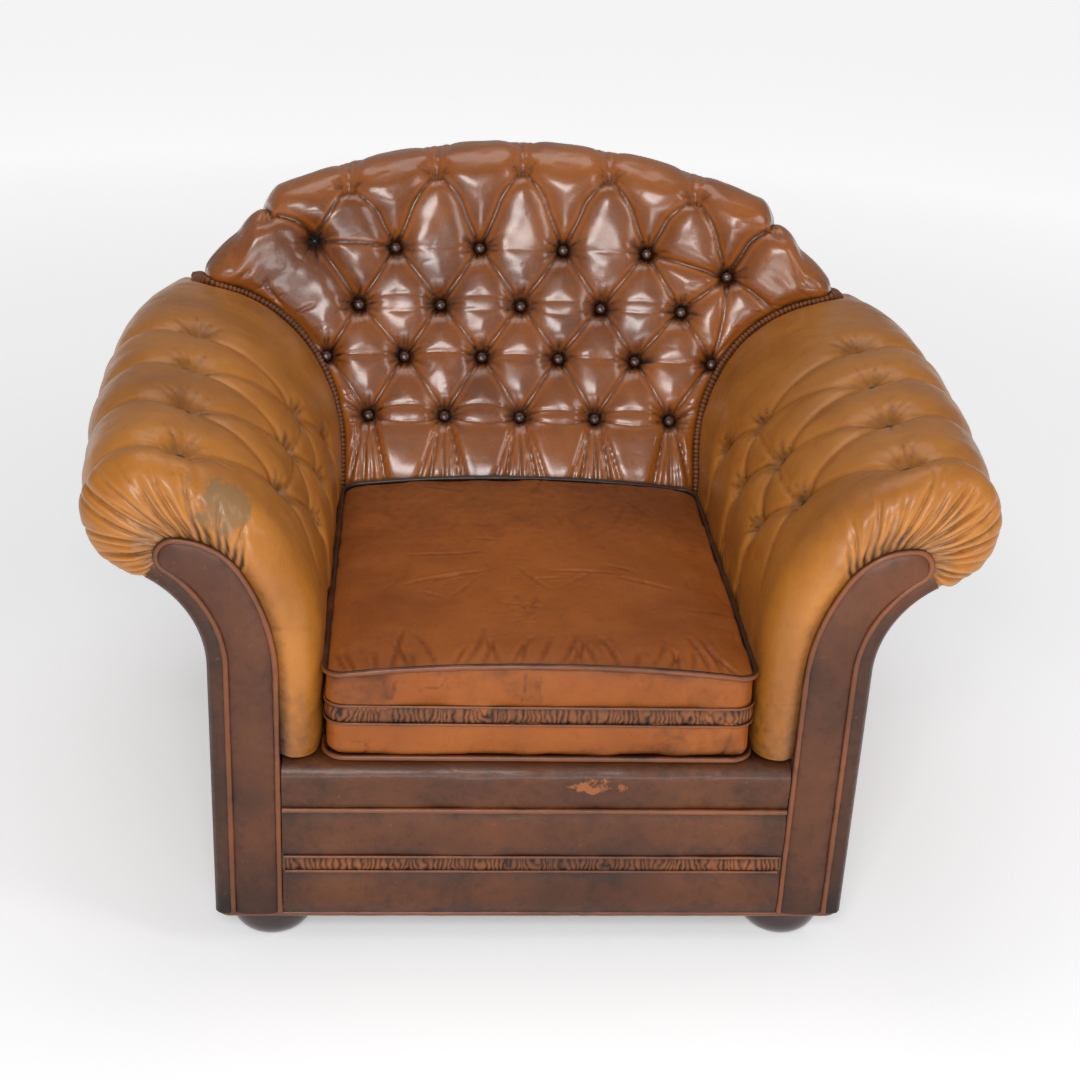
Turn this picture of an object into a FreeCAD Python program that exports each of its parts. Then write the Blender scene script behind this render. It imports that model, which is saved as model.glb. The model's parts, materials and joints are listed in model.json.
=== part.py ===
import FreeCAD, Part
import math
import os

# Deep-buttoned leather club armchair.  Millimetres, X across, Y to the rear, Z up,
# origin on the floor at the middle of the footprint.  Right-hand pieces are modelled,
# and their left-hand partners are mirrors of them.

V = FreeCAD.Vector
DOC = FreeCAD.newDocument("armchair")
SHEET = DOC.addObject("Spreadsheet::Sheet", "dims")

DRIVING = {
    "front_y": -460, "rear_y": 330, "base_half": 390, "timber": 25,
    "base_bottom": 52, "panel_bottom": 55, "rail_top": 205, "deck_top": 272,
    "back_rake": 8, "rear_rail_y": 290,
    "scroll_inner": 311, "scroll_outer": 368, "scroll_top": 559, "side_radius": 250,
    "head_radius": 85, "side_sweep": 32, "tip_radius": 20, "tip_sweep": 55,
    "outer_strip": 22, "panel_thick": 6, "facing_thick": 8, "piping_radius": 4,
    "pad_inner": 262, "roll_radius": 75, "roll_x": 455, "roll_z": 572,
    "rear_roll_radius": 84, "rear_roll_x": 480, "rear_roll_z": 575, "pad_radius": 230,
    "pad_front": -450, "pad_middle": 20, "pad_rear": 400, "roll_taper": 26,
    "rail_half": 306.5, "side_rail_x": 345, "block_length": 60, "block_width": 70,
    "block_height": 40, "board_rear_y": 105,
    "foot_height": 52, "foot_radius": 52, "foot_top_radius": 46, "foot_base_radius": 34,
    "foot_x": 325, "foot_front_y": -394, "foot_rear_y": 260, "bolt_radius": 4,
    "bolt_bottom": 20, "bolt_length": 78, "nut_radius": 5.5, "nut_flange": 10,
    "spring_wire": 1.9, "spring_half": 25, "spring_pitch": 22, "spring_gap": 110,
    "cushion_half": 257.5, "cushion_front": -458, "cushion_rear": 108,
    "cushion_bottom": 273, "cushion_top": 406, "cushion_skin": 2.5, "cushion_corner": 22,
    "cushion_piping": 3.5, "ruche_bottom": 323, "ruche_height": 24, "ruche_thick": 1.5,
    "zip_half": 205, "zip_height": 24,
    "button_radius": 9, "button_height": 6, "dimple_radius": 13, "dimple_depth": 26,
    "back_top": 837, "back_roll_radius": 75, "back_roll_y": 390, "back_front_y": 115,
    "ruche_width": 8, "back_panel_thick": 6,
    "rail_inset": 10, "arm_rail_x": 385, "arm_rail_z": 505, "arm_rail_width": 37,
    "arm_rail_height": 33, "tack_rail_x": 315, "tack_rail_z": 285, "tack_rail_width": 30,
    "tack_rail_height": 40, "post_x": 250, "post_width": 45, "post_height": 395,
    "arch_half": 330, "arch_rise": 145, "back_rail_low": 90, "back_rail_height": 50,
    "strap_width": 50, "strap_thick": 2, "strap_half": 285, "strap_low": 110,
    "strap_gap": 75, "arm_strap_x": 330, "arm_strap_z": 326, "arm_strap_front": -380,
    "arm_strap_gap": 140, "arm_strap_length": 185, "arm_strap_lean": 20,
    "clip_length": 14, "clip_width": 12, "clip_height": 8, "deck_inset": 70,
    "hessian_lift": 9, "tuft_gap": 128, "tuft_front": -380, "tuft_inner_z": 562,
    "tuft_top_x": 415, "tuft_splay": 9, "well_length": 70, "button_lean": 28,
    "screw_length": 55, "screw_radius": 2.5, "screw_inset": 12, "screw_rail_z": 82,
    "screw_side_z": 66, "screw_rail_x": 295, "screw_side_x": 308, "nut_barrel": 12,
    "flange_thick": 1.5, "base_bend": 14, "border_thick": 10, "border_gap": 4,
    "rail_ruche_z": 117, "rail_ruche_height": 21, "rail_ruche_thick": 2,
    "edge_roll_depth": 69, "edge_roll_round": 22, "cover_inset": 12, "cover_thick": 2,
    "frame_space_x": 240, "frame_space_y": 200, "frame_space_z": 200,
    "frame_space_height": 190, "frame_space_behind": 14, "frame_space_depth": 60,
    "tape_thick": 1.2,
}
for row, (alias, value) in enumerate(DRIVING.items(), start=1):
    SHEET.set(f"A{row}", alias)
    SHEET.set(f"B{row}", str(value))
    SHEET.setAlias(f"B{row}", alias)
DOC.recompute()

PIECES = []
CUT_TOLERANCE = 0.01


def size(alias):
    """The value of a sheet cell, for shapes that are worked out in this script."""
    return float(SHEET.get(alias))


def keep(piece):
    """Marks an object of the document as a sub-part that is written out."""
    PIECES.append(piece)
    return piece


def bind(item, **formulas):
    """Binds properties to sheet expressions; x, y and z place the object."""
    for name, formula in formulas.items():
        target = f"Placement.Base.{name}" if name in "xyz" else name
        item.setExpression(target, formula)
    return item


def board(label, length, width, height, x, y, z):
    """A rectangular piece with its low corner at x, y, z."""
    box = DOC.addObject("Part::Box", label)
    return bind(box, Length=length, Width=width, Height=height, x=x, y=y, z=z)


def rod(label, radius, height, x, y, z):
    """An upright round piece."""
    item = DOC.addObject("Part::Cylinder", label)
    return bind(item, Radius=radius, Height=height, x=x, y=y, z=z)


def mirrored(label, source):
    """The left-hand partner of a right-hand piece."""
    item = DOC.addObject("Part::Mirroring", label)
    item.Source = source
    item.Normal = V(1, 0, 0)
    return item


def group(label, members):
    """Separate solids that share one node."""
    item = DOC.addObject("Part::Compound", label)
    item.Links = members
    return item


def cut(label, base, tool):
    """The base without the room that the tool takes."""
    item = DOC.addObject("Part::Cut", label)
    item.Base = base
    item.Tool = tool
    return item


def cut_clear(label, base, neighbour):
    """A cut along faces that almost touch, matched to within CUT_TOLERANCE."""
    DOC.recompute()
    item = DOC.addObject("Part::Feature", label)
    item.Shape = base.Shape.cut([neighbour.Shape], CUT_TOLERANCE)
    return item


def pair(label, right):
    """Keeps a right-hand piece and its mirror."""
    right.Label = label + "_right"
    keep(right)
    return right, keep(mirrored(label + "_left", right))


def sketch_in(body, role, edges, offset="0"):
    """A sketch on one of the body's origin planes, moved along the plane's normal."""
    plane = next(f for f in body.Origin.OriginFeatures if f.Role == role)
    sketch = body.newObject("Sketcher::SketchObject", body.Name + "_sketch")
    sketch.AttachmentSupport = [(plane, "")]
    sketch.MapMode = "FlatFace"
    sketch.setExpression("AttachmentOffset.Base.z", offset)
    for edge in edges:
        sketch.addGeometry(edge, False)
    return sketch


def profile_body(name, role, edges, offset, length, reverse=False):
    """A PartDesign body padded from one closed outline."""
    body = DOC.addObject("PartDesign::Body", name)
    sketch = sketch_in(body, role, edges, offset)
    pad = body.newObject("PartDesign::Pad", name + "_pad")
    pad.Profile = sketch
    pad.Reversed = reverse
    pad.setExpression("Length", length)
    sketch.Visibility = False
    return body


def line(start, end):
    return Part.LineSegment(V(*start, 0), V(*end, 0))


def arc(centre, radius, low, high):
    """A circular arc, with its angles in degrees counter-clockwise from sketch X."""
    circle = Part.Circle(V(*centre, 0), V(0, 0, 1), radius)
    return Part.ArcOfCircle(circle, math.radians(low), math.radians(high))


def on_circle(centre, radius, angle):
    turn = math.radians(angle)
    return (centre[0] + radius * math.cos(turn), centre[1] + radius * math.sin(turn))


def loop(points):
    """Straight edges through points, closed."""
    return [line(a, b) for a, b in zip(points, points[1:] + points[:1])]


# ---- the scroll outline that shapes the arms ------------------------------------------

SIDE = size("side_sweep")
TIP = size("tip_sweep")
SIDE_COS, SIDE_SIN = math.cos(math.radians(SIDE)), math.sin(math.radians(SIDE))
TIP_COS = math.cos(math.radians(TIP))
SCROLL_TOP_X = (size("scroll_inner") + size("side_radius") * (1 - SIDE_COS)
                + size("head_radius") * SIDE_COS)
SIDE_START_Z = (size("scroll_top") - size("head_radius") * (1 - SIDE_SIN)
                - size("side_radius") * SIDE_SIN)
SIDE_CENTRE = (size("scroll_inner") + size("side_radius"), SIDE_START_Z)
HEAD_CENTRE = (SCROLL_TOP_X, size("scroll_top") - size("head_radius"))
TIP_CENTRE = (SCROLL_TOP_X, size("scroll_top") - size("tip_radius"))
TIP_END = on_circle(TIP_CENTRE, size("tip_radius"), -TIP)
OUTER_RADIUS = (TIP_END[0] - size("scroll_outer")) / (1 - TIP_COS)
OUTER_CENTRE = on_circle(TIP_END, OUTER_RADIUS, -TIP)
OUTER_SWEEP = 180 - TIP


def scroll_rise(bottom):
    """The inner edge of the scroll: up from the bottom, over the head and round the tip."""
    inner = size("scroll_inner")
    return [
        line((inner, bottom), (inner, SIDE_START_Z)),
        arc(SIDE_CENTRE, size("side_radius"), 180 - SIDE, 180),
        arc(HEAD_CENTRE, size("head_radius"), 90, 180 - SIDE),
        arc(TIP_CENTRE, size("tip_radius"), -TIP, 90),
    ]


def scroll_outline(bottom, strip):
    """A closed scroll whose outer edge stands strip outside the outer piping."""
    radius = OUTER_RADIUS - strip
    edge = OUTER_CENTRE[0] - radius
    shoulder = on_circle(OUTER_CENTRE, radius, OUTER_SWEEP)
    return scroll_rise(bottom) + [
        line(TIP_END, shoulder),
        arc(OUTER_CENTRE, radius, OUTER_SWEEP, 180),
        line((edge, OUTER_CENTRE[1]), (edge, bottom)),
        line((edge, bottom), (size("scroll_inner"), bottom)),
    ]


def panel_outline():
    """The outside arm panel in section: a thin wall that follows the scroll's outer edge."""
    outer = OUTER_RADIUS - size("outer_strip")
    inner = outer + size("panel_thick")
    low = size("panel_bottom")
    return [
        line((OUTER_CENTRE[0] - outer, low), (OUTER_CENTRE[0] - outer, OUTER_CENTRE[1])),
        arc(OUTER_CENTRE, outer, OUTER_SWEEP, 180),
        line(on_circle(OUTER_CENTRE, outer, OUTER_SWEEP),
             on_circle(OUTER_CENTRE, inner, OUTER_SWEEP)),
        arc(OUTER_CENTRE, inner, OUTER_SWEEP, 180),
        line((OUTER_CENTRE[0] - inner, OUTER_CENTRE[1]), (OUTER_CENTRE[0] - inner, low)),
        line((OUTER_CENTRE[0] - inner, low), (OUTER_CENTRE[0] - outer, low)),
    ]


def pad_outline(roll_x, roll_z, roll_radius):
    """The arm pad's leather surface in section, closed down through the arm's core."""
    inner, radius = size("pad_inner"), size("pad_radius")
    drop = math.sqrt((radius - roll_radius) ** 2 - (roll_x - inner - radius) ** 2)
    centre = (inner + radius, roll_z - drop)
    touch = math.degrees(math.atan2(roll_z - centre[1], roll_x - centre[0]))
    under = on_circle((roll_x, roll_z), roll_radius, -90)
    deck = size("deck_top")
    return [
        line((inner, deck), (inner, centre[1])),
        arc(centre, radius, touch, 180),
        arc((roll_x, roll_z), roll_radius, -90, touch),
        line(under, (size("scroll_outer"), SIDE_START_Z)),
        line((size("scroll_outer"), SIDE_START_Z), (size("scroll_outer"), deck)),
        line((size("scroll_outer"), deck), (inner, deck)),
    ]


# ---- timber frame ---------------------------------------------------------------------

def corner_block(label, y):
    """A glued block in the right-hand corner between a rail and the side rail."""
    return board(label, "dims.block_length", "dims.block_width", "dims.block_height",
                 "dims.side_rail_x - dims.block_length", y, "dims.base_bottom")


def leaned(x, y, z):
    """Places a piece laid out from the rear rail's top edge, leaned back with the posts."""
    rake = FreeCAD.Rotation(V(1, 0, 0), -size("back_rake"))
    foot = V(0, size("rear_rail_y"), size("rail_top"))
    return FreeCAD.Placement(foot + rake.multVec(V(x, y, z)), rake)


def raked_board(label, length, width, height, x, y, z):
    """A rectangular piece that leans back with the posts."""
    box = DOC.addObject("Part::Box", label)
    bind(box, Length=length, Width=width, Height=height)
    box.Placement = leaned(x, y, z)
    return box


def build_frame():
    """The rails of the base with their corner blocks, and the boards and rails of the arms."""
    inner = "dims.front_y + dims.facing_thick"
    rear_face = "dims.rear_rail_y + dims.timber"
    front_rail = board("front_rail_blank", "2 * dims.scroll_inner", "dims.timber",
                       "dims.rail_top - dims.base_bottom", "-dims.scroll_inner",
                       "dims.front_y + dims.rail_inset", "dims.base_bottom")
    rear_rail = board("rear_rail_blank", "2 * dims.side_rail_x", "dims.timber",
                      "dims.rail_top - dims.base_bottom", "-dims.side_rail_x",
                      "dims.rear_rail_y", "dims.base_bottom")
    side_rail = board("side_rail_blank", "dims.timber",
                      f"{rear_face} - ({inner} + dims.timber)",
                      "dims.rail_top - dims.base_bottom - dims.timber",
                      "dims.side_rail_x", f"{inner} + dims.timber", "dims.base_bottom")
    block_front = corner_block("block_front", "dims.front_y + dims.rail_inset + dims.timber")
    block_rear = corner_block("block_rear", "dims.rear_rail_y - dims.block_width")
    screws = screw_tools()
    for name, blank in (("front_rail", front_rail), ("rear_rail", rear_rail)):
        keep(cut(name, blank, screws))
    pair("side_rail", cut("side_rail_right", side_rail, screws))
    right_blocks = group("blocks_right", [block_front, block_rear])
    blocks = group("blocks_all", [right_blocks, mirrored("blocks_left", right_blocks)])
    drilled = cut("blocks_drilled", blocks, group("block_bores", foot_bores()))
    keep(cut("corner_blocks", drilled, screws))

    front_board = profile_body("arm_front_board", "XZ_Plane",
                               scroll_outline(size("panel_bottom"), size("outer_strip")
                                              - size("panel_thick")),
                               f"-({inner})", "dims.timber", reverse=True)
    rear_board = profile_body("arm_rear_board", "XZ_Plane",
                              scroll_outline(size("rail_top") - size("timber"),
                                             size("outer_strip") - size("panel_thick")),
                              "-dims.board_rear_y", "dims.timber", reverse=True)
    pair("arm_front_board", front_board)
    pair("arm_rear_board", rear_board)
    between = "dims.board_rear_y - dims.front_y - dims.facing_thick - dims.timber"
    start = f"{inner} + dims.timber"
    pair("arm_top_rail", board("arm_top_rail", "dims.arm_rail_width", between,
                               "dims.arm_rail_height", "dims.arm_rail_x", start,
                               "dims.arm_rail_z"))
    pair("arm_stuff_rail", board("arm_stuff_rail", "dims.tack_rail_width", between,
                                 "dims.tack_rail_height", "dims.tack_rail_x", start,
                                 "dims.tack_rail_z"))
    build_back_frame(rear_rail)


def build_back_frame(rear_rail):
    """Two leaning posts on the rear rail, the arched rail on top and the rail between."""
    post = raked_board("back_post_blank", "dims.post_width", "dims.timber", "dims.post_height",
                       size("post_x"), 0, 0)
    pair("back_post", cut("back_post_right", post, rear_rail))
    top = DOC.addObject("PartDesign::Body", "back_top_rail")
    half, rise, foot = size("arch_half"), size("arch_rise"), size("post_height")
    radius = (half ** 2 + rise ** 2) / (2 * rise)
    swing = math.degrees(math.asin(half / radius))
    edges = [line((-half, foot), (half, foot)),
             arc((0, foot + rise - radius), radius, 90 - swing, 90 + swing)]
    sketch = sketch_in(top, "XZ_Plane", edges)
    pad = top.newObject("PartDesign::Pad", "back_top_rail_pad")
    pad.Profile = sketch
    pad.Reversed = True
    pad.setExpression("Length", "dims.timber")
    top.Placement = leaned(0, 0, 0)
    keep(top)
    keep(raked_board("back_stuff_rail", "2 * dims.post_x", "dims.timber",
                     "dims.back_rail_height", -size("post_x"), 0, size("back_rail_low")))


def screw_tools():
    """Eight wood screws that hold the corner blocks to the rails."""
    length, inset = size("screw_length"), size("screw_inset")
    block = size("block_width")
    front = size("front_y") + size("rail_inset") + size("timber")
    rear = size("rear_rail_y") - block
    places = (("front", 1, front + length - size("timber") + size("rail_inset"),
               front + block - inset),
              ("rear", -1, rear + block - length + size("timber") - size("rail_inset"),
               rear + inset))
    screws = []
    for end, turn, rail_y, side_y in places:
        into_rail = DOC.addObject("Part::Cylinder", f"screw_{end}_rail")
        into_side = DOC.addObject("Part::Cylinder", f"screw_{end}_side")
        for screw in (into_rail, into_side):
            bind(screw, Radius="dims.screw_radius", Height="dims.screw_length")
        into_rail.Placement = FreeCAD.Placement(
            V(size("screw_rail_x"), rail_y, size("screw_rail_z")),
            FreeCAD.Rotation(V(1, 0, 0), 90 * turn))
        into_side.Placement = FreeCAD.Placement(
            V(size("screw_side_x"), side_y, size("screw_side_z")),
            FreeCAD.Rotation(V(0, 1, 0), 90))
        screws += [into_rail, into_side]
    right = group("screws_right", screws)
    return keep(group("corner_screws", [right, mirrored("screws_left", right)]))


# ---- feet -----------------------------------------------------------------------------

def foot_places():
    """End, side, x and y of the four feet."""
    return [(end, side, side_sign * size("foot_x"), size(f"foot_{end}_y"))
            for end in ("front", "rear")
            for side, side_sign in (("left", -1), ("right", 1))]


def foot_bores():
    """Clearance for the tee nuts through the corner blocks."""
    return [rod(f"bore_{end}_{side}", "dims.nut_radius", "dims.block_height",
                str(x), str(y), "dims.base_bottom")
            for end, side, x, y in foot_places()]


def build_feet():
    """Turned bun feet, each with its hanger bolt and the tee nut in its corner block."""
    bolts, nuts = [], []
    block_top = "dims.base_bottom + dims.block_height"
    for end, side, x, y in foot_places():
        name = f"foot_{end}_{side}"
        top, base = size("foot_top_radius"), size("foot_base_radius")
        height, belly = size("foot_height"), size("foot_radius")
        belly_z = 0.66 * height
        body = DOC.addObject("PartDesign::Body", name)
        lower = Part.Arc(V(base, 0, 0), V(0.5 * (base + belly) + 5, 0.25 * height, 0),
                         V(belly, belly_z, 0))
        upper = Part.Arc(V(belly, belly_z, 0), V(belly - 1, 0.85 * height, 0), V(top, height, 0))
        sketch = sketch_in(body, "XZ_Plane", [line((0, 0), (base, 0)), lower, upper,
                                              line((top, height), (0, height)),
                                              line((0, height), (0, 0))])
        turned = body.newObject("PartDesign::Revolution", name + "_turned")
        turned.Profile = sketch
        turned.ReferenceAxis = (sketch, ["V_Axis"])
        turned.Angle = 360
        circle = Part.Circle(V(0, 0, 0), V(0, 0, 1), size("bolt_radius"))
        bore_sketch = sketch_in(body, "XY_Plane", [circle], "dims.bolt_bottom")
        bore = body.newObject("PartDesign::Pocket", name + "_bore")
        bore.Profile = bore_sketch
        bore.Reversed = True
        bore.setExpression("Length", "dims.foot_height - dims.bolt_bottom")
        body.Placement = FreeCAD.Placement(V(x, y, 0), FreeCAD.Rotation())
        keep(body)
        bolts.append(rod(f"bolt_{end}_{side}", "dims.bolt_radius", "dims.bolt_length",
                         str(x), str(y), "dims.bolt_bottom"))
        barrel = rod(f"barrel_{end}_{side}", "dims.nut_radius", "dims.nut_barrel", str(x),
                     str(y), f"{block_top} - dims.nut_barrel")
        flange = rod(f"flange_{end}_{side}", "dims.nut_flange", "dims.flange_thick", str(x),
                     str(y), block_top)
        nut = DOC.addObject("Part::Fuse", f"nut_{end}_{side}")
        nut.Base, nut.Tool = barrel, flange
        nuts.append(nut)
    bolt_group = keep(group("foot_bolts", bolts))
    keep(cut("foot_tee_nuts", group("nut_blanks", nuts), bolt_group))


# ---- springs, webbing and seat deck ---------------------------------------------------

def spring_path(x, z):
    """A zigzag of straight bars and half-round bends, from the front rail to the rear rail."""
    half, pitch = size("spring_half"), size("spring_pitch")
    start, end = size("front_y") + 26, size("rear_rail_y") + 8
    bends = 2 * int((end - start) / pitch / 2)
    radius = (end - start) / bends / 2
    edges, side, y = [], 1, start
    edges.append(Part.LineSegment(V(x, y, z), V(x + half - radius, y, z)))
    for bend in range(bends):
        near, far = x + side * (half - radius), x - side * (half - radius)
        edges.append(Part.Arc(V(near, y, z), V(near + side * radius, y + radius, z),
                              V(near, y + 2 * radius, z)))
        y += 2 * radius
        stop = x if bend == bends - 1 else far
        edges.append(Part.LineSegment(V(near, y, z), V(stop, y, z)))
        side = -side
    return Part.Wire([edge.toShape() for edge in edges]), start, end


def build_suspension():
    wire = size("spring_wire")
    z = size("rail_top") + 1 + wire
    springs, clips = [], []
    for i in range(-2, 3):
        x = i * size("spring_gap")
        path, start, end = spring_path(x, z)
        ring = Part.Wire(Part.makeCircle(wire, V(x, start, z), V(1, 0, 0)))
        springs.append(path.makePipeShell([ring], True, False))
        length, width, height = size("clip_length"), size("clip_width"), size("clip_height")
        for y in (start, end):
            corner = V(x - 0.5 * length, y - 0.5 * width, size("rail_top"))
            clips.append(Part.makeBox(length, width, height, corner))
    spring_node = keep(DOC.addObject("Part::Feature", "seat_springs"))
    spring_node.Shape = Part.makeCompound(springs)
    clip_blank = DOC.addObject("Part::Feature", "clip_blanks")
    clip_blank.Shape = Part.makeCompound(clips)
    keep(cut("spring_clips", clip_blank, spring_node))
    deck_width = "2 * dims.scroll_inner - 2 * dims.rail_inset"
    deck_length = "dims.rear_rail_y - 16 - dims.front_y - dims.deck_inset"
    deck_x, deck_y = "dims.rail_inset - dims.scroll_inner", "dims.front_y + dims.deck_inset"
    keep(board("seat_hessian", deck_width, deck_length, "dims.strap_thick", deck_x, deck_y,
               "dims.rail_top + dims.hessian_lift"))
    on_hessian = "dims.rail_top + dims.hessian_lift + dims.strap_thick"
    keep(board("seat_deck_pad", deck_width, deck_length,
               f"dims.deck_top - 1 - ({on_hessian})", deck_x, deck_y, on_hessian))
    straps = [raked_board(f"back_strap_{i}", "2 * dims.strap_half", "dims.strap_thick",
                          "dims.strap_width", -size("strap_half"), -size("strap_thick"),
                          size("strap_low") + size("strap_gap") * i)
              for i in range(4)]
    keep(group("back_webbing", straps))
    arm_straps = []
    for i in range(4):
        strap = DOC.addObject("Part::Box", f"arm_strap_{i}")
        bind(strap, Length="dims.strap_thick", Width="dims.strap_width",
             Height="dims.arm_strap_length")
        y = size("arm_strap_front") + size("arm_strap_gap") * i
        strap.Placement = FreeCAD.Placement(
            V(size("arm_strap_x"), y, size("arm_strap_z")),
            FreeCAD.Rotation(V(0, 1, 0), size("arm_strap_lean")))
        arm_straps.append(strap)
    right = group("arm_straps_right", arm_straps)
    keep(group("arm_webbing", [right, mirrored("arm_straps_left", right)]))


# ---- trim: facings, pipings, outside panels -------------------------------------------

def swept_cord(label, path, start, along):
    """A round welt cord along a path of straight and round edges."""
    ring = Part.Wire(Part.makeCircle(size("piping_radius"), start, along))
    item = DOC.addObject("Part::Feature", label)
    item.Shape = path.makePipeShell([ring], True, False)
    return item


def facing_path():
    """The welt round the arm facing, in the facing's front plane."""
    low = size("panel_bottom") + 1
    edge = size("scroll_outer")
    flat = scroll_rise(low) + [arc(OUTER_CENTRE, OUTER_RADIUS, OUTER_SWEEP, 180),
                               line((edge, OUTER_CENTRE[1]), (edge, low))]
    wire = Part.Wire([edge.toShape() for edge in flat])
    wire.rotate(V(0, 0, 0), V(1, 0, 0), 90)
    wire.translate(V(0, size("front_y"), 0))
    return wire


def base_path():
    """The welt round the bottom edge of the base, with rounded corners."""
    reach, bend = size("base_half") - size("piping_radius"), size("base_bend")
    front, rear = size("front_y") + size("piping_radius"), size("rear_y") - size("piping_radius")
    z = size("panel_bottom") - size("piping_radius")
    corners = [(reach, front, -90), (reach, rear, 0), (-reach, rear, 90), (-reach, front, 180)]
    edges, ends = [], []
    for x, y, turn in corners:
        centre = (x - math.copysign(bend, x), y - math.copysign(bend, y - 0.5 * (front + rear)))
        edges.append(arc(centre, bend, turn, turn + 90))
        ends.append((on_circle(centre, bend, turn), on_circle(centre, bend, turn + 90)))
    for (_, leave), (arrive, _) in zip(ends, ends[1:] + ends[:1]):
        edges.append(line(leave, arrive))
    ordered = Part.__sortEdges__([edge.toShape() for edge in edges])
    wire = Part.Wire(ordered)
    wire.translate(V(0, 0, z))
    return wire


def build_trim(behind_back):
    """Facings, outside arms, pipings, the front border, its edge roll and the dust cover."""
    low = size("panel_bottom") + 1
    piping = swept_cord("facing_piping_right", facing_path(),
                        V(size("scroll_inner"), size("front_y"), low), V(0, 0, 1))
    facing = profile_body("facing_blank", "XZ_Plane",
                          scroll_outline(size("panel_bottom"),
                                         size("outer_strip") - size("panel_thick")),
                          "-dims.front_y", "dims.facing_thick", reverse=True)
    pair("arm_facing", cut("arm_facing_right", facing, piping))
    pair("facing_piping", piping)
    panel = profile_body("outside_arm_blank", "XZ_Plane", panel_outline(), "-dims.front_y",
                         "dims.pad_rear - dims.front_y", reverse=True)
    pair("outside_arm_panel", cut("outside_arm_right", panel, behind_back))
    base = base_path()
    edge = base.Edges[0]
    start = edge.valueAt(edge.FirstParameter)
    keep(swept_cord("base_piping", base, start, edge.tangentAt(edge.FirstParameter)))
    keep(board("front_border_panel", "2 * dims.rail_half", "dims.border_thick",
               "dims.rail_top - dims.border_gap - dims.panel_bottom", "-dims.rail_half",
               "dims.front_y", "dims.panel_bottom"))
    keep(board("front_ruche_band", "2 * (dims.rail_half - dims.rail_ruche_thick)",
               "dims.rail_ruche_thick", "dims.rail_ruche_height",
               "dims.rail_ruche_thick - dims.rail_half",
               "dims.front_y - dims.rail_ruche_thick", "dims.rail_ruche_z"))
    welt = DOC.addObject("Part::Cylinder", "front_border_piping")
    bind(welt, Radius="dims.piping_radius - 0.1", Height="2 * dims.rail_half")
    welt.Placement = FreeCAD.Placement(V(-size("rail_half"), size("front_y"), size("rail_top")),
                                       FreeCAD.Rotation(V(0, 1, 0), 90))
    keep(welt)
    roll_low, roll_top = size("rail_top") + size("border_gap"), size("deck_top") - 0.5
    front, round_off = size("front_y"), size("edge_roll_round")
    rear = front + size("edge_roll_depth")
    edges = [line((front, roll_low), (rear, roll_low)), line((rear, roll_low), (rear, roll_top)),
             line((rear, roll_top), (front + round_off, roll_top)),
             arc((front + round_off, roll_top - round_off), round_off, 90, 180),
             line((front, roll_top - round_off), (front, roll_low))]
    roll = profile_body("front_edge_roll_blank", "YZ_Plane", edges, "-dims.rail_half",
                        "2 * dims.rail_half")
    notch = group("edge_roll_notches", [DOC.getObject("clip_blanks"), DOC.getObject("seat_springs")])
    keep(cut("front_edge_roll", roll, notch))
    cover_low = "dims.base_bottom - dims.cover_thick"
    holes = [rod(f"foot_hole_{end}_{side}", "dims.foot_top_radius + 2", "dims.cover_thick",
                 str(x), str(y), cover_low)
             for end, side, x, y in foot_places()]
    sheet = board("dust_cover_blank", "2 * (dims.base_half - dims.cover_inset)",
                  "dims.rear_y - dims.front_y - 2 * dims.cover_inset", "dims.cover_thick",
                  "dims.cover_inset - dims.base_half", "dims.front_y + dims.cover_inset",
                  cover_low)
    keep(cut("dust_cover", sheet, group("foot_holes", holes)))


# ---- outside back ---------------------------------------------------------------------

def raked_y(z, depth):
    """Y of a plane that stands depth behind the posts' front face and leans back with them."""
    lean = math.tan(math.radians(size("back_rake"))) * max(0.0, z - size("rail_top"))
    return size("rear_rail_y") + depth + lean


def raked_slab(name, near, far):
    """Everything between two planes that follow the rake of the posts."""
    heights = (0, size("rail_top"), 900)
    path = [(raked_y(z, near), z) for z in heights]
    path += [(raked_y(z, far), z) for z in reversed(heights)]
    return profile_body(name, "YZ_Plane", loop(path), "-700", "1400")


def back_outline():
    """The outside back from behind: up the arm panels, round the rolls and over the arch."""
    low, half = size("panel_bottom"), size("base_half")
    edge_radius = OUTER_RADIUS - size("outer_strip")
    roll_radius = size("rear_roll_radius") - 0.8 * size("roll_taper")
    roll = (size("rear_roll_x") - 0.93 * size("roll_taper"), size("rear_roll_z"))
    neck, enter, leave = OUTER_SWEEP + 4, -112, 112
    shoulder = on_circle(roll, roll_radius, leave)
    edges = [line((-half, low), (half, low)),
             Part.Arc(V(*shoulder, 0), V(0, size("back_top") - 145, 0),
                      V(-shoulder[0], shoulder[1], 0))]
    right = [line((half, low), (half, OUTER_CENTRE[1])),
             arc(OUTER_CENTRE, edge_radius, neck, 180),
             line(on_circle(OUTER_CENTRE, edge_radius, neck), on_circle(roll, roll_radius, enter)),
             arc(roll, roll_radius, enter, leave)]
    left = [line((-half, low), (-half, OUTER_CENTRE[1])),
            arc((-OUTER_CENTRE[0], OUTER_CENTRE[1]), edge_radius, 0, 180 - neck),
            line(on_circle((-OUTER_CENTRE[0], OUTER_CENTRE[1]), edge_radius, 180 - neck),
                 on_circle((-roll[0], roll[1]), roll_radius, 180 - enter)),
            arc((-roll[0], roll[1]), roll_radius, 180 - leave, 180 - enter)]
    return edges + right + left


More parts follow.
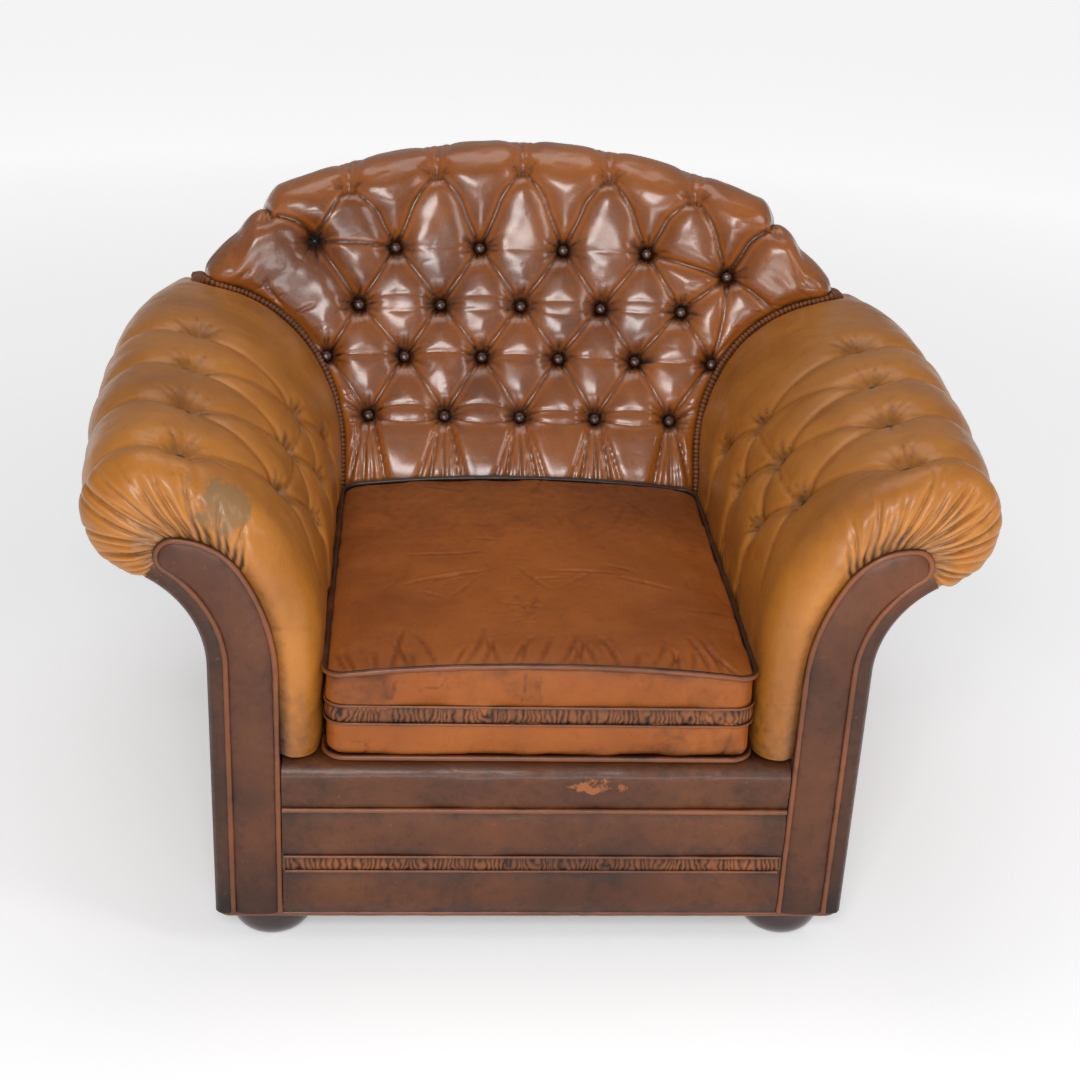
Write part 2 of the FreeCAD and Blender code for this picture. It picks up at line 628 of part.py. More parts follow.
def build_outside_back():
    """The outside back panel, and the space behind its front face for trimming the arms."""
    near = size("rear_y") - size("rear_rail_y") - size("back_panel_thick")
    slab = raked_slab("outside_back_slab", near, near + size("back_panel_thick"))
    outline = profile_body("outside_back_outline", "XZ_Plane", back_outline(), "-100", "500",
                           reverse=True)
    panel = DOC.addObject("Part::Common", "outside_back_panel")
    panel.Base, panel.Tool = slab, outline
    keep(panel)
    return raked_slab("behind_back", near, near + 400)


# ---- soft pads ------------------------------------------------------------------------

def back_height(reach):
    """Height of the arched back: a crown, then a shoulder that falls towards each arm."""
    crown = size("back_top") - 5.6e-4 * min(reach, 330) ** 2
    fall = max(0.0, reach - 330)
    return crown - 0.62 * fall - 3.0e-3 * fall ** 2


def back_station(x, forward):
    """An upright section of the back pad at x: seat edge, raked front, top roll, rear face."""
    reach = abs(x)
    radius = size("back_roll_radius") - 12 * (reach / 480) ** 2
    wing = max(0.0, reach - 290)
    roll_y = size("back_roll_y") - 0.54e-3 * reach ** 2
    roll_z = back_height(reach) - radius
    low_y, low_z = size("back_front_y") + 0.62 * wing, size("deck_top") + 1.35 * wing
    knee_z = max(low_z + 4, min(400, roll_z - 60))
    points = [(low_y, low_z), (low_y, knee_z)]
    points += [(low_y + out * (roll_y - radius - low_y), knee_z + up * (roll_z - knee_z))
               for out, up in ((0.33, 0.24), (0.53, 0.44), (0.76, 0.66), (0.93, 0.86))]
    points += [on_circle((roll_y, roll_z), radius, angle) for angle in range(172, -60, -28)]
    shelf_z = points[-1][1] + 6
    shelf_y = min(points[-1][0] - 8, raked_y(shelf_z, -2.5))
    points += [(shelf_y, shelf_z), (min(raked_y(low_z, -2.5), shelf_y), low_z)]
    return [V(x, y - forward, z) for y, z in points]


def back_loft(label, forward):
    """The whole inside back as one solid, moved forward to make room for the seam ruche."""
    stations = (-480, -430, -370, -300, -200, -100, 0, 100, 200, 300, 370, 430, 480)
    sections = [back_station(x, forward) for x in stations]
    wires = [Part.makePolygon(points + points[:1]) for points in sections]
    item = DOC.addObject("Part::Feature", label)
    item.Shape = Part.makeLoft(wires, True, True)
    return item


def first_hit(shape, start, direction):
    """The nearest point of a shape along a ray."""
    ray = Part.makeLine(start, start + direction * 900)
    hits = [vertex.Point for vertex in shape.common(ray).Vertexes]
    return min(hits, key=lambda point: point.distanceToPoint(start))


def button_shape(seat, outward):
    """A domed button whose flat face is at seat and whose dome points outward."""
    disc = Part.makeCylinder(size("button_radius"), size("button_height"))
    rim = [edge for edge in disc.Edges if edge.BoundBox.ZMin > size("button_height") / 2]
    button = disc.makeFillet(0.7 * size("button_height"), rim)
    button.Placement = FreeCAD.Placement(seat, FreeCAD.Rotation(V(0, 0, 1), outward))
    return button


def tufts(label, shape, starts, outward):
    """Buttons sunk into a pad below the points that rays from starts reach, and their dimples."""
    buttons, dimples = [], []
    for start, direction in starts:
        seat = first_hit(shape, start, direction) - outward * size("dimple_depth")
        buttons.append(button_shape(seat, outward))
        dimples.append(Part.makeCylinder(size("dimple_radius"), size("well_length"), seat,
                                         outward))
    node = DOC.addObject("Part::Feature", label)
    node.Shape = Part.makeCompound(buttons)
    wells = DOC.addObject("Part::Feature", label + "_wells")
    wells.Shape = Part.makeCompound(dimples)
    return node, wells


def back_button_rays():
    """Rows of the inside back as (height, gap, places in gaps), each ray pointing to the rear."""
    rows = ((474, 110, (-2, -1, 0, 1, 2)), (546, 112, (-2.5, -1.5, -0.5, 0.5, 1.5, 2.5)),
            (615, 118, (-2, -1, 0, 1, 2)), (690, 122, (-1.5, -0.5, 0.5, 1.5)),
            (666, 122, (2.5,)))
    return [(V(place * gap, -300, z), V(0, 1, 0)) for z, gap, places in rows for place in places]


def arm_button_rays():
    """Top row and inside row of the right arm; the rays point down and across."""
    gap, front, z = size("tuft_gap"), size("tuft_front"), size("tuft_inner_z")
    top_x, splay = size("tuft_top_x"), size("tuft_splay")
    top = [(V(top_x + splay * i, front + gap * i, 900), V(0, 0, -1)) for i in range(4)]
    inside = [(V(0, front + gap * (i + 0.5), z), V(1, 0, 0)) for i in range(3)]
    return top, inside


def build_pads(behind_back):
    """The tufted arm and back pads, the gathered strip between them and their buttons."""
    back_blank = back_loft("back_blank", 0)
    back_forward = back_loft("back_forward", size("ruche_width"))
    front = pad_outline(size("roll_x"), size("roll_z"), size("roll_radius"))
    middle = pad_outline(size("rear_roll_x"), size("rear_roll_z"), size("rear_roll_radius"))
    rear = pad_outline(size("rear_roll_x") - size("roll_taper"), size("rear_roll_z"),
                       size("rear_roll_radius") - 0.6 * size("roll_taper"))
    blank = DOC.addObject("PartDesign::Body", "arm_pad_blank")
    sections = [sketch_in(blank, "XZ_Plane", edges, offset)
                for edges, offset in ((front, "-dims.pad_front"), (middle, "-dims.pad_middle"),
                                      (rear, "-dims.pad_rear"))]
    loft = blank.newObject("PartDesign::AdditiveLoft", "arm_pad_loft")
    loft.Profile, loft.Sections, loft.Ruled = sections[0], sections[1:], True
    core = profile_body("arm_core", "XZ_Plane",
                        scroll_outline(60, size("outer_strip")), "-dims.front_y",
                        "dims.pad_rear + 40 - dims.front_y", reverse=True)
    DOC.recompute()
    hollow = cut("arm_hollow", cut("arm_trimmed", blank, behind_back), core)
    ruche_blank = DOC.addObject("Part::Common", "arm_seam_blank")
    ruche_blank.Base, ruche_blank.Tool = hollow, back_forward
    ruche = cut("arm_seam_ruche_right", ruche_blank, back_blank)
    top_rays, inside_rays = arm_button_rays()
    up, inward = V(0.1, 0, 0.995), V(-0.94, 0, 0.34)
    top_buttons, top_wells = tufts("arm_top_buttons", blank.Shape, top_rays, up)
    inner_buttons, inner_wells = tufts("arm_inner_buttons", blank.Shape, inside_rays, inward)
    wells = group("arm_wells", [top_wells, inner_wells])
    frame_space = DOC.addObject("Part::Common", "back_frame_space")
    behind = size("frame_space_behind")
    frame_space.Base = raked_slab("back_frame_slab", -behind, size("frame_space_depth"))
    frame_space.Tool = board("back_frame_block", "dims.frame_space_x", "300", "450",
                             "dims.frame_space_y", "dims.frame_space_z",
                             "dims.frame_space_height")
    cleared = cut("arm_cleared", hollow, frame_space)
    seamed = cut("arm_seamed", cut("arm_sewn", cleared, back_forward), back_blank)
    buttoned = cut("arm_buttoned", seamed, wells)
    pair("arm_seam_ruche", ruche)
    right = group("arm_buttons_right", [top_buttons, inner_buttons])
    keep(group("arm_buttons", [right, mirrored("arm_buttons_left", right)]))
    DOC.recompute()

    lean = math.radians(size("button_lean"))
    leaning = V(0, -math.cos(lean), math.sin(lean))
    buttons, back_wells = tufts("back_buttons", back_blank.Shape, back_button_rays(), leaning)
    keep(buttons)
    under_roll = board("under_roll", "200", "700", "310", "dims.base_half", "-200", "200")
    seated = cut("back_seated", back_blank,
                 group("under_rolls", [under_roll, mirrored("under_roll_left", under_roll)]))
    frame_names = ("back_post", "back_top_rail", "outside_back_panel", "outside_arm_panel",
                   "arm_rear_board")
    others = [piece for piece in PIECES if piece.Label.startswith(frame_names)]
    around = cut("back_framed", seated, group("back_neighbours", others))
    back = keep(cut("inside_back_pad", around, back_wells))
    pair("arm_pad", cut_clear("arm_pad_right", buttoned, back))


# ---- loose seat cushion ---------------------------------------------------------------

def cushion_loop(inset):
    """The cushion's outline with rounded corners, moved inwards by inset."""
    right, rear = size("cushion_half") - inset, size("cushion_rear") - inset
    front, bend = size("cushion_front") + inset, size("cushion_corner") - inset
    corners = ((right, front, -90), (right, rear, 0), (-right, rear, 90), (-right, front, 180))
    middle = 0.5 * (front + rear)
    edges, ends = [], []
    for x, y, turn in corners:
        centre = (x - math.copysign(bend, x), y - math.copysign(bend, y - middle))
        edges.append(arc(centre, bend, turn, turn + 90))
        ends.append((on_circle(centre, bend, turn), on_circle(centre, bend, turn + 90)))
    edges += [line(leave, arrive) for (_, leave), (arrive, _) in zip(ends, ends[1:] + ends[:1])]
    return edges


def cushion_layer(name, edges, low, height):
    """A level layer of the cushion, from low up."""
    return profile_body(name, "XY_Plane", edges, low, height)


def build_cushion():
    """The loose seat cushion: core, panels, border, pipings, gathered band and zip."""
    skin, low, top = size("cushion_skin"), "dims.cushion_bottom", "dims.cushion_top"
    outer, inner = cushion_loop(0), cushion_loop(skin)
    inside = f"{top} - {low} - 2 * dims.cushion_skin"
    path = Part.Wire(Part.__sortEdges__([edge.toShape() for edge in outer]))
    cords = []
    for z in (size("cushion_bottom") + size("cushion_piping"),
              size("cushion_top") - size("cushion_piping")):
        wire = path.copy()
        wire.translate(V(0, 0, z))
        edge = wire.Edges[0]
        ring = Part.Wire(Part.makeCircle(size("cushion_piping"), edge.valueAt(edge.FirstParameter),
                                         edge.tangentAt(edge.FirstParameter)))
        cords.append(wire.makePipeShell([ring], True, False))
    pipings = DOC.addObject("Part::Feature", "cushion_piping")
    pipings.Shape = Part.makeCompound(cords)
    keep(pipings)
    core = cushion_layer("core_blank", inner, f"{low} + dims.cushion_skin", inside)
    keep(cut("cushion_core", core, pipings))
    for name, z in (("cushion_bottom_panel", low), ("cushion_top_panel",
                                                    f"{top} - dims.cushion_skin")):
        panel = cushion_layer(name + "_blank", outer, z, "dims.cushion_skin")
        keep(cut(name, panel, pipings))
    border = cushion_layer("border_blank", outer + inner, f"{low} + dims.cushion_skin", inside)
    keep(cut("cushion_border", border, pipings))
    band = cushion_layer("ruche_blank", cushion_loop(-size("ruche_thick")) + outer,
                         "dims.ruche_bottom", "dims.ruche_height")
    rear_space = board("ruche_rear_space", "2 * dims.cushion_half + 20", "60", "400",
                       "-dims.cushion_half - 10", "dims.cushion_rear - 30", "200")
    keep(cut("cushion_ruche_band", band, rear_space))
    tape = board("cushion_zip", "2 * dims.zip_half", "dims.tape_thick", "dims.zip_height",
                 "-dims.zip_half", "dims.cushion_rear", "dims.ruche_bottom")
    keep(tape)
    slider = board("zip_slider_body", "9", "1.8", "11", "-dims.zip_half + 6",
                   "dims.cushion_rear + 1.6", "dims.ruche_bottom + 7")
    pull = board("zip_pull", "24", "1", "5", "-dims.zip_half + 14", "dims.cushion_rear + 2.2",
                 "dims.ruche_bottom + 10")
    zip_slider = DOC.addObject("Part::Fuse", "zip_slider")
    zip_slider.Base, zip_slider.Tool = slider, pull
    keep(zip_slider)


# ---- build, check and write -----------------------------------------------------------

def write_pieces():
    """Checks every object and writes one file for each sub-part."""
    for item in DOC.Objects:
        if any(word in item.State for word in ("Invalid", "Error")):
            raise RuntimeError(f"{item.Name} failed: {item.State}")
    os.makedirs("parts", exist_ok=True)
    for piece in PIECES:
        shape = piece.Shape
        if shape.isNull() or not shape.isValid() or not shape.Solids:
            raise RuntimeError(f"{piece.Label} has no valid solid")
        shape.exportStep(f"parts/{piece.Label}.step")
        box = shape.optimalBoundingBox()
        spans = [round(v, 1) for v in (box.XMin, box.XMax, box.YMin, box.YMax, box.ZMin, box.ZMax)]
        print(piece.Label, len(shape.Solids), round(shape.Volume / 1000, 1), spans)
    print(len(PIECES), "sub-parts")


build_frame()
build_feet()
build_suspension()
space_behind = build_outside_back()
build_trim(space_behind)
build_pads(space_behind)
build_cushion()
DOC.recompute()
write_pieces()
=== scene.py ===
"""The looks of a deep-buttoned leather armchair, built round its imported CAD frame.

Metres, X right, Y back, Z up. Each padded surface is a grid of points on the shape that the
frame gives it, and the leather's height over that shape is worked out from its tufts, its
pleats and its seams. The seat cushion is a cloth simulation held along its sewn edges.
"""

import json
import math

import bpy
import numpy as np
from mathutils import Matrix, Vector


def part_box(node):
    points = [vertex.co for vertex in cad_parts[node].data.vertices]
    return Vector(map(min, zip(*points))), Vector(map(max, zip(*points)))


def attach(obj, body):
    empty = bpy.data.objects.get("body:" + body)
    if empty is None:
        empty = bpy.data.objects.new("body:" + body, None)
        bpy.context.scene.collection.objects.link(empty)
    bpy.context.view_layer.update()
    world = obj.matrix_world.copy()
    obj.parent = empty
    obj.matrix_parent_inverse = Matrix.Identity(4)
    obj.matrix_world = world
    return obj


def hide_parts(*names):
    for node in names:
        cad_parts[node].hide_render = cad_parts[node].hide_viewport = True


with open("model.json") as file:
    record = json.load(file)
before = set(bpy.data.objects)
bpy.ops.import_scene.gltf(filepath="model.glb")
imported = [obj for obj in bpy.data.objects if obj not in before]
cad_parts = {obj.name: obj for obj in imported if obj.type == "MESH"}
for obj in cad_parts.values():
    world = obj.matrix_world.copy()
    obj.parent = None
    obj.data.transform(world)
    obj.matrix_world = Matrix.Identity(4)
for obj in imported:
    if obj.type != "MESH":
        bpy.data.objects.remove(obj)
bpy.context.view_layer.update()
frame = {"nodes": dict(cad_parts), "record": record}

# ---- places read from the frame ---------------------------------------------------------

BACK_LOW, BACK_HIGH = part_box("inside_back_pad")
ARM_LOW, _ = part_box("arm_pad_right")
FACING_LOW, FACING_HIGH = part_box("arm_facing_right")
CUSHION_LOW, CUSHION_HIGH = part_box("cushion_core")
CORD_LOW, CORD_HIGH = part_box("cushion_piping")
BAND_LOW, BAND_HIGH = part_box("cushion_ruche_band")
RAIL_LOW, RAIL_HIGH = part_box("front_border_panel")
RAIL_BAND_LOW, RAIL_BAND_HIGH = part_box("front_ruche_band")
EDGE_LOW, EDGE_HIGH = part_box("front_edge_roll")
OUTER_LOW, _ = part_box("outside_arm_panel_right")
REAR_LOW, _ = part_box("outside_back_panel")
MID_CORD_LOW, MID_CORD_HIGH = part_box("front_border_piping")
DECK = BACK_LOW.z
FRONT = FACING_LOW.y
RAKE = math.tan(math.radians(8))
RAKE_START = 0.205

# ---- small tools ------------------------------------------------------------------------


def smoothstep(low, high, value):
    """0 below low, 1 above high and a smooth rise between them."""
    share = np.clip((value - low) / (high - low), 0, 1)
    return share * share * (3 - 2 * share)


def rear_plane(z):
    """Y of the outside back at a height: upright over the base, then leaned back."""
    return REAR_LOW.y + RAKE * np.maximum(0, z - RAKE_START)


def noise(u, v, cell, seed):
    """Smooth noise from -1 to 1 over two coordinates, with features about cell wide."""
    table = np.random.default_rng(1000 + seed).uniform(-1, 1, (97, 97))
    a, b = u / cell + 40.5, v / cell + 40.5
    i, j = np.floor(a).astype(int), np.floor(b).astype(int)
    f, g = a - i, b - j
    f, g = f * f * f * (f * (6 * f - 15) + 10), g * g * g * (g * (6 * g - 15) + 10)
    i0, i1, j0, j1 = i % 97, (i + 1) % 97, j % 97, (j + 1) % 97
    near = table[i0, j0] * (1 - f) + table[i1, j0] * f
    far = table[i0, j1] * (1 - f) + table[i1, j1] * f
    return near * (1 - g) + far * g


def wrinkles(u, v, cell, width, seed):
    """1 along thin wandering lines and 0 between them."""
    wander = 0.35 * cell
    uu = u + wander * noise(u, v, 1.3 * cell, seed + 1)
    vv = v + wander * noise(u, v, 1.3 * cell, seed + 2)
    line = np.abs(noise(uu, vv, cell, seed))
    return np.exp(-((line * cell / width) ** 2)) * smoothstep(
        -0.1, 0.6, noise(u, v, 2.1 * cell, seed + 3))


def on_circle(centre, radius, degrees):
    """Points of a circle in a section's plane."""
    angle = np.radians(degrees)
    return np.stack([centre[0] + radius * np.cos(angle),
                     centre[1] + radius * np.sin(angle)], -1)


def lengths_along(path):
    """How far along a path each of its points lies."""
    steps = np.linalg.norm(np.diff(path, axis=0), axis=1)
    return np.concatenate([[0], np.cumsum(steps)])


def resample(path, count):
    """Evenly spaced points along a path."""
    along = lengths_along(path)
    wanted = np.linspace(0, along[-1], count)
    return np.stack([np.interp(wanted, along, path[:, k]) for k in range(path.shape[1])], 1)


def soften(points, passes):
    """Evens out a grid along its second direction and keeps the two ends."""
    for _ in range(passes):
        points[:, 1:-1] = 0.25 * points[:, :-2] + 0.5 * points[:, 1:-1] + 0.25 * points[:, 2:]
    return points


def surface_normals(points):
    """Unit normals of a grid of points."""
    normal = np.cross(np.gradient(points, axis=0), np.gradient(points, axis=1))
    return normal / np.maximum(np.linalg.norm(normal, axis=2, keepdims=True), 1e-12)


def grid_faces(rows, columns, around=False):
    """Quads over a grid; around joins the last column to the first."""
    i = np.arange(rows - 1)[:, None]
    j = np.arange(columns if around else columns - 1)[None, :]
    k = (j + 1) % columns
    quads = [i * columns + j, (i + 1) * columns + j, (i + 1) * columns + k, i * columns + k]
    return np.stack([q + 0 * i + 0 * j for q in quads], -1).reshape(-1, 4)


def add_object(name, data):
    """A new object in the scene."""
    item = bpy.data.objects.new(name, data)
    bpy.context.scene.collection.objects.link(item)
    return item


def move_points(item, points):
    """Puts a mesh's vertices in new places."""
    item.data.vertices.foreach_set("co", points.astype(np.float32).ravel())


def read_points(mesh, what="co"):
    """The vertices of a mesh, or their normals, as an array."""
    store = np.empty(len(mesh.vertices) * 3, np.float32)
    mesh.vertices.foreach_get(what, store)
    return store.reshape(-1, 3).astype(float)


def add_piece(name, points, faces, slot, body="chair", stands_for=(), fill=None, **fields):
    """A smooth mesh that rides on a body; each field has a number from 0 to 1 per point."""
    mesh = bpy.data.meshes.new(name)
    points = np.asarray(points).reshape(-1, 3)
    mesh.from_pydata(points.tolist(), [], np.asarray(faces).tolist())
    mesh.shade_smooth()
    for label, values in fields.items():
        store = mesh.attributes.new(label, "FLOAT", "POINT")
        store.data.foreach_set("value", np.clip(values, 0, 1).astype(np.float32).ravel())
    piece = add_object(name, mesh)
    mesh.materials.append(FINISHES[slot])
    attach(piece, body)
    if stands_for:
        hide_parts(*stands_for)
    return piece


CORD_SIDES = 12


def tube(path, outward, high, wide, sides, closed=False):
    """Points and faces of a cord along a path; high and wide may change along it."""
    if closed:
        tangent = np.roll(path, -1, axis=0) - np.roll(path, 1, axis=0)
    else:
        tangent = np.gradient(path, axis=0)
    tangent /= np.linalg.norm(tangent, axis=1, keepdims=True)
    outward = outward - np.sum(outward * tangent, axis=1, keepdims=True) * tangent
    outward /= np.linalg.norm(outward, axis=1, keepdims=True)
    across = np.cross(tangent, outward)
    angle = np.linspace(0, 2 * math.pi, sides, endpoint=False)
    high = np.broadcast_to(high, (len(path),))[:, None, None]
    wide = np.broadcast_to(wide, (len(path),))[:, None, None]
    points = (path[:, None] + high * np.cos(angle)[None, :, None] * outward[:, None]
              + wide * np.sin(angle)[None, :, None] * across[:, None])
    count = len(path)
    faces = grid_faces(count, sides, around=True)
    if closed:
        last = np.arange(sides)
        following = (last + 1) % sides
        base = (count - 1) * sides
        faces = np.concatenate([faces, np.stack(
            [base + last, last, following, base + following], 1)])
    return points.reshape(-1, 3), faces


# ---- materials --------------------------------------------------------------------------


class Recipe:
    """A node material under construction."""

    def __init__(self, name):
        self.material = bpy.data.materials.new(name)
        self.material.use_nodes = True
        self.tree = self.material.node_tree
        self.shader = self.tree.nodes["Principled BSDF"]
        self.place = self.add("ShaderNodeTexCoord").outputs["Object"]

    def add(self, kind, sockets=(), **settings):
        """A node with its settings and its input sockets set or linked."""
        node = self.tree.nodes.new(kind)
        for key, value in settings.items():
            setattr(node, key, value)
        for socket, value in dict(sockets).items():
            self.put(node.inputs[socket], value)
        return node

    def put(self, socket, value):
        """Links an output to a socket, or sets the socket's own value."""
        if isinstance(value, bpy.types.NodeSocket):
            self.tree.links.new(value, socket)
        else:
            socket.default_value = value

    def field(self, name):
        """The number stored for each point of the mesh; 0 where a mesh has none."""
        return self.add("ShaderNodeAttribute", attribute_name=name).outputs["Fac"]

    def grain(self, scale, detail=3.0, rough=0.5, stretch=None):
        """Noise from 0 to 1."""
        place = self.place
        if stretch:
            place = self.add("ShaderNodeMapping", {"Vector": place, "Scale": stretch}).outputs[0]
        sockets = {"Vector": place, "Scale": scale, "Detail": detail, "Roughness": rough}
        return self.add("ShaderNodeTexNoise", sockets).outputs["Fac"]

    def cells(self, scale):
        """Distance from the middle of rounded cells."""
        sockets = {"Vector": self.place, "Scale": scale}
        return self.add("ShaderNodeTexVoronoi", sockets).outputs["Distance"]

    def ramp(self, value, low, high, to_low=0.0, to_high=1.0):
        """Maps low..high to to_low..to_high and holds it there outside."""
        sockets = {"Value": value, "From Min": low, "From Max": high, "To Min": to_low,
                   "To Max": to_high}
        return self.add("ShaderNodeMapRange", sockets).outputs["Result"]

    def sum(self, a, b):
        return self.add("ShaderNodeMath", {0: a, 1: b}, operation="ADD").outputs[0]

    def times(self, a, b):
        return self.add("ShaderNodeMath", {0: a, 1: b}, operation="MULTIPLY").outputs[0]

    def blend(self, share, first, second):
        """Mixes two colours."""
        node = self.add("ShaderNodeMix", data_type="RGBA")
        self.put(node.inputs[0], share)
        self.put(node.inputs[6], first)
        self.put(node.inputs[7], second)
        return node.outputs[2]

    def bump(self, height, distance, strength=1.0, normal=None):
        sockets = {"Height": height, "Distance": distance, "Strength": strength}
        if normal is not None:
            sockets["Normal"] = normal
        return self.add("ShaderNodeBump", sockets).outputs["Normal"]

    def finish(self, **sockets):
        """Sets or links the shader's sockets."""
        for socket, value in sockets.items():
            self.put(self.shader.inputs[socket.replace("_", " ")], value)
        return self.material


def colour(red, green, blue):
    """A colour given as it looks on a screen, from 0 to 255."""
    linear = [((c / 255 + 0.055) / 1.055) ** 2.4 if c > 10 else c / 3295
              for c in (red, green, blue)]
    return (*linear, 1.0)


def leather(name, light, deep, shadow, edge, gloss, coat, mottle, worn=None):
    """Hand-antiqued hide: mottled colour, painted shade (partly real antiquing) in the folds, a
    painted highlight (partly rubbed hide) beside them, pores and fine wrinkles.
    """
    make = Recipe(name)
    cloud = make.grain(6.5, 5.0, 0.6)
    speck = make.grain(75.0, 4.0, 0.65)
    tone = make.blend(make.ramp(cloud, 0.35, 0.66), light, deep)
    blotch = make.times(make.ramp(speck, 0.52, 0.78), mottle)
    tone = make.blend(blotch, tone, shadow)
    # Painted shade, partly real antiquing: the fold field darkens the tone towards the shadow
    # colour.
    fold = make.field("fold")
    dye = make.ramp(make.sum(fold, make.times(make.ramp(speck, 0.3, 0.7, -0.5, 0.5), 0.22)),
                    0.16, 0.86)
    tone = make.blend(dye, tone, shadow)
    # Painted highlight, partly rubbed hide: lightens the tone towards the edge colour beside
    # creases and on the back's crest.
    tone = make.blend(make.times(make.field("rub"), 0.60), tone, edge)
    rough = make.ramp(speck, 0.3, 0.75, gloss - 0.05, gloss + 0.10)
    if worn:
        scuff = make.field("worn")
        flake = make.ramp(make.sum(scuff, make.ramp(make.grain(120.0, 6.0, 0.75), 0.3, 0.7,
                                                     -0.55, 0.55)), 0.38, 0.72)
        tone = make.blend(make.times(flake, 0.62), tone, worn)
        rough = make.sum(rough, make.times(flake, 0.3))
    pores = make.cells(1050.0)
    creases = make.grain(240.0, 6.0, 0.72)
    skin = make.bump(pores, 0.00022, 0.55)
    skin = make.bump(creases, 0.0009, 0.5, skin)
    return make.finish(Base_Color=tone, Roughness=rough, Normal=skin, Coat_Weight=coat,
                       Coat_Roughness=0.21, Coat_IOR=1.55, Specular_IOR_Level=0.28)


def stained_wood(name):
    """Dark stained and lacquered beech."""
    make = Recipe(name)
    rings = make.grain(26.0, 5.0, 0.6, (1.0, 1.0, 9.0))
    tone = make.blend(make.ramp(rings, 0.3, 0.7), colour(58, 28, 20), colour(28, 13, 10))
    skin = make.bump(make.grain(300.0, 3.0, 0.6, (1.0, 1.0, 6.0)), 0.0003, 0.4)
    return make.finish(Base_Color=tone, Roughness=make.ramp(rings, 0.2, 0.8, 0.22, 0.36),
                       Normal=skin, Coat_Weight=0.5, Coat_Roughness=0.12)


def plain_timber(name):
    """Sawn hardwood of the hidden frame."""
    make = Recipe(name)
    rings = make.grain(9.0, 6.0, 0.65, (1.0, 7.0, 1.0))
    tone = make.blend(make.ramp(rings, 0.3, 0.7), colour(206, 170, 120), colour(168, 124, 78))
    return make.finish(Base_Color=tone, Roughness=make.ramp(rings, 0.2, 0.8, 0.55, 0.75),
                       Normal=make.bump(rings, 0.0008, 0.6))


def metal(name, tone, roughness):
    """Drawn or plated metal with a little unevenness."""
    make = Recipe(name)
    patch = make.grain(90.0, 4.0, 0.6)
    darker = tuple(0.7 * c for c in tone[:3]) + (1.0,)
    return make.finish(Base_Color=make.blend(make.ramp(patch, 0.35, 0.7), tone, darker),
                       Roughness=make.ramp(patch, 0.3, 0.8, roughness, roughness + 0.18),
                       Metallic=1.0, Normal=make.bump(patch, 0.0002, 0.3))


def woven(name, light, dark, scale):
    """A coarse cloth of crossed yarns."""
    make = Recipe(name)
    sockets = {"Vector": make.place, "Scale": scale, "Distortion": 0.6, "Detail": 1.0}
    warp, weft = (make.add("ShaderNodeTexWave", sockets, bands_direction=way).outputs["Fac"]
                  for way in "XY")
    yarn = make.times(make.sum(warp, weft), 0.5)
    tone = make.blend(yarn, dark, light)
    return make.finish(Base_Color=tone, Roughness=0.9, Sheen_Weight=0.3,
                       Normal=make.bump(yarn, 0.0006, 0.7))


def soft_foam(name):
    """Open-celled foam of the cushion's core."""
    make = Recipe(name)
    cell = make.cells(420.0)
    tone = make.blend(make.ramp(cell, 0.1, 0.6), colour(236, 222, 178), colour(206, 188, 138))
    return make.finish(Base_Color=tone, Roughness=0.95, Normal=make.bump(cell, 0.0006, 0.6))


# Each hide's edge colour is its painted highlight (partly rubbed hide); its shadow colour serves
# the dark mottle and the painted shade in its folds.
TAN = leather("tan_hide", colour(180, 114, 42), colour(152, 92, 32), colour(58, 32, 19),
              edge=colour(212, 142, 70), gloss=0.36, coat=0.24, mottle=0.14,
              worn=colour(112, 98, 74))
RUSSET = leather("russet_hide", colour(150, 83, 26), colour(106, 55, 19), colour(20, 11, 9),
                 edge=colour(190, 108, 42), gloss=0.28, coat=0.8, mottle=0.18)
SEAT_TAN = leather("seat_hide", colour(158, 86, 28), colour(134, 69, 22), colour(48, 26, 16),
                   edge=colour(178, 108, 52), gloss=0.46, coat=0.03, mottle=0.12)
DARK = leather("antiqued_hide", colour(102, 56, 27), colour(72, 38, 20), colour(30, 17, 13),
               edge=colour(150, 88, 46), gloss=0.38, coat=0.16, mottle=0.30,
               worn=colour(178, 104, 54))
CORD_HIDE = leather("piping_hide", colour(132, 74, 40), colour(100, 57, 32), colour(38, 22, 16),
                    edge=colour(168, 100, 54), gloss=0.36, coat=0.2, mottle=0.2)
GATHERED = leather("gathered_hide", colour(142, 82, 40), colour(106, 60, 32), colour(24, 13, 10),
                   edge=colour(168, 100, 50), gloss=0.44, coat=0.1, mottle=0.2)
BUTTON_HIDE = leather("button_hide", colour(74, 42, 32), colour(52, 30, 24), colour(24, 13, 11),
                      edge=colour(96, 60, 44), gloss=0.24, coat=0.5, mottle=0.2)
FINISHES = {
    "leather_tan": TAN,
    "leather_back": RUSSET,
    "leather_dark": DARK,
    "piping": CORD_HIDE,
    "ruche": GATHERED,
    "button": BUTTON_HIDE,
    "foot_wood": stained_wood("foot_lacquer"),
    "timber": plain_timber("frame_timber"),
    "steel": metal("plated_steel", colour(176, 176, 178), 0.34),
    "spring_steel": metal("oiled_spring_steel", colour(104, 104, 108), 0.40),
    "webbing": woven("jute_webbing", colour(176, 142, 96), colour(112, 84, 52), 520.0),
    "hessian": woven("hessian_cloth", colour(188, 158, 112), colour(120, 92, 58), 640.0),
    "felt": woven("deck_felt", colour(206, 200, 188), colour(150, 144, 132), 900.0),
    "lining": woven("black_lining", colour(40, 38, 38), colour(16, 15, 15), 1100.0),
    "foam": soft_foam("cushion_foam"),
    "brass": metal("zip_brass", colour(196, 150, 74), 0.30),
}


def finish_frame_nodes():
    """Gives every CAD node the material of its slot."""
    for part in frame["record"]["subparts"]:
        item = frame["nodes"][part["node"]]
        item.data.materials.clear()
        item.data.materials.append(FINISHES[part["material_slot"]])


# ---- folds in a padded surface ----------------------------------------------------------


LINE_POINTS = 14


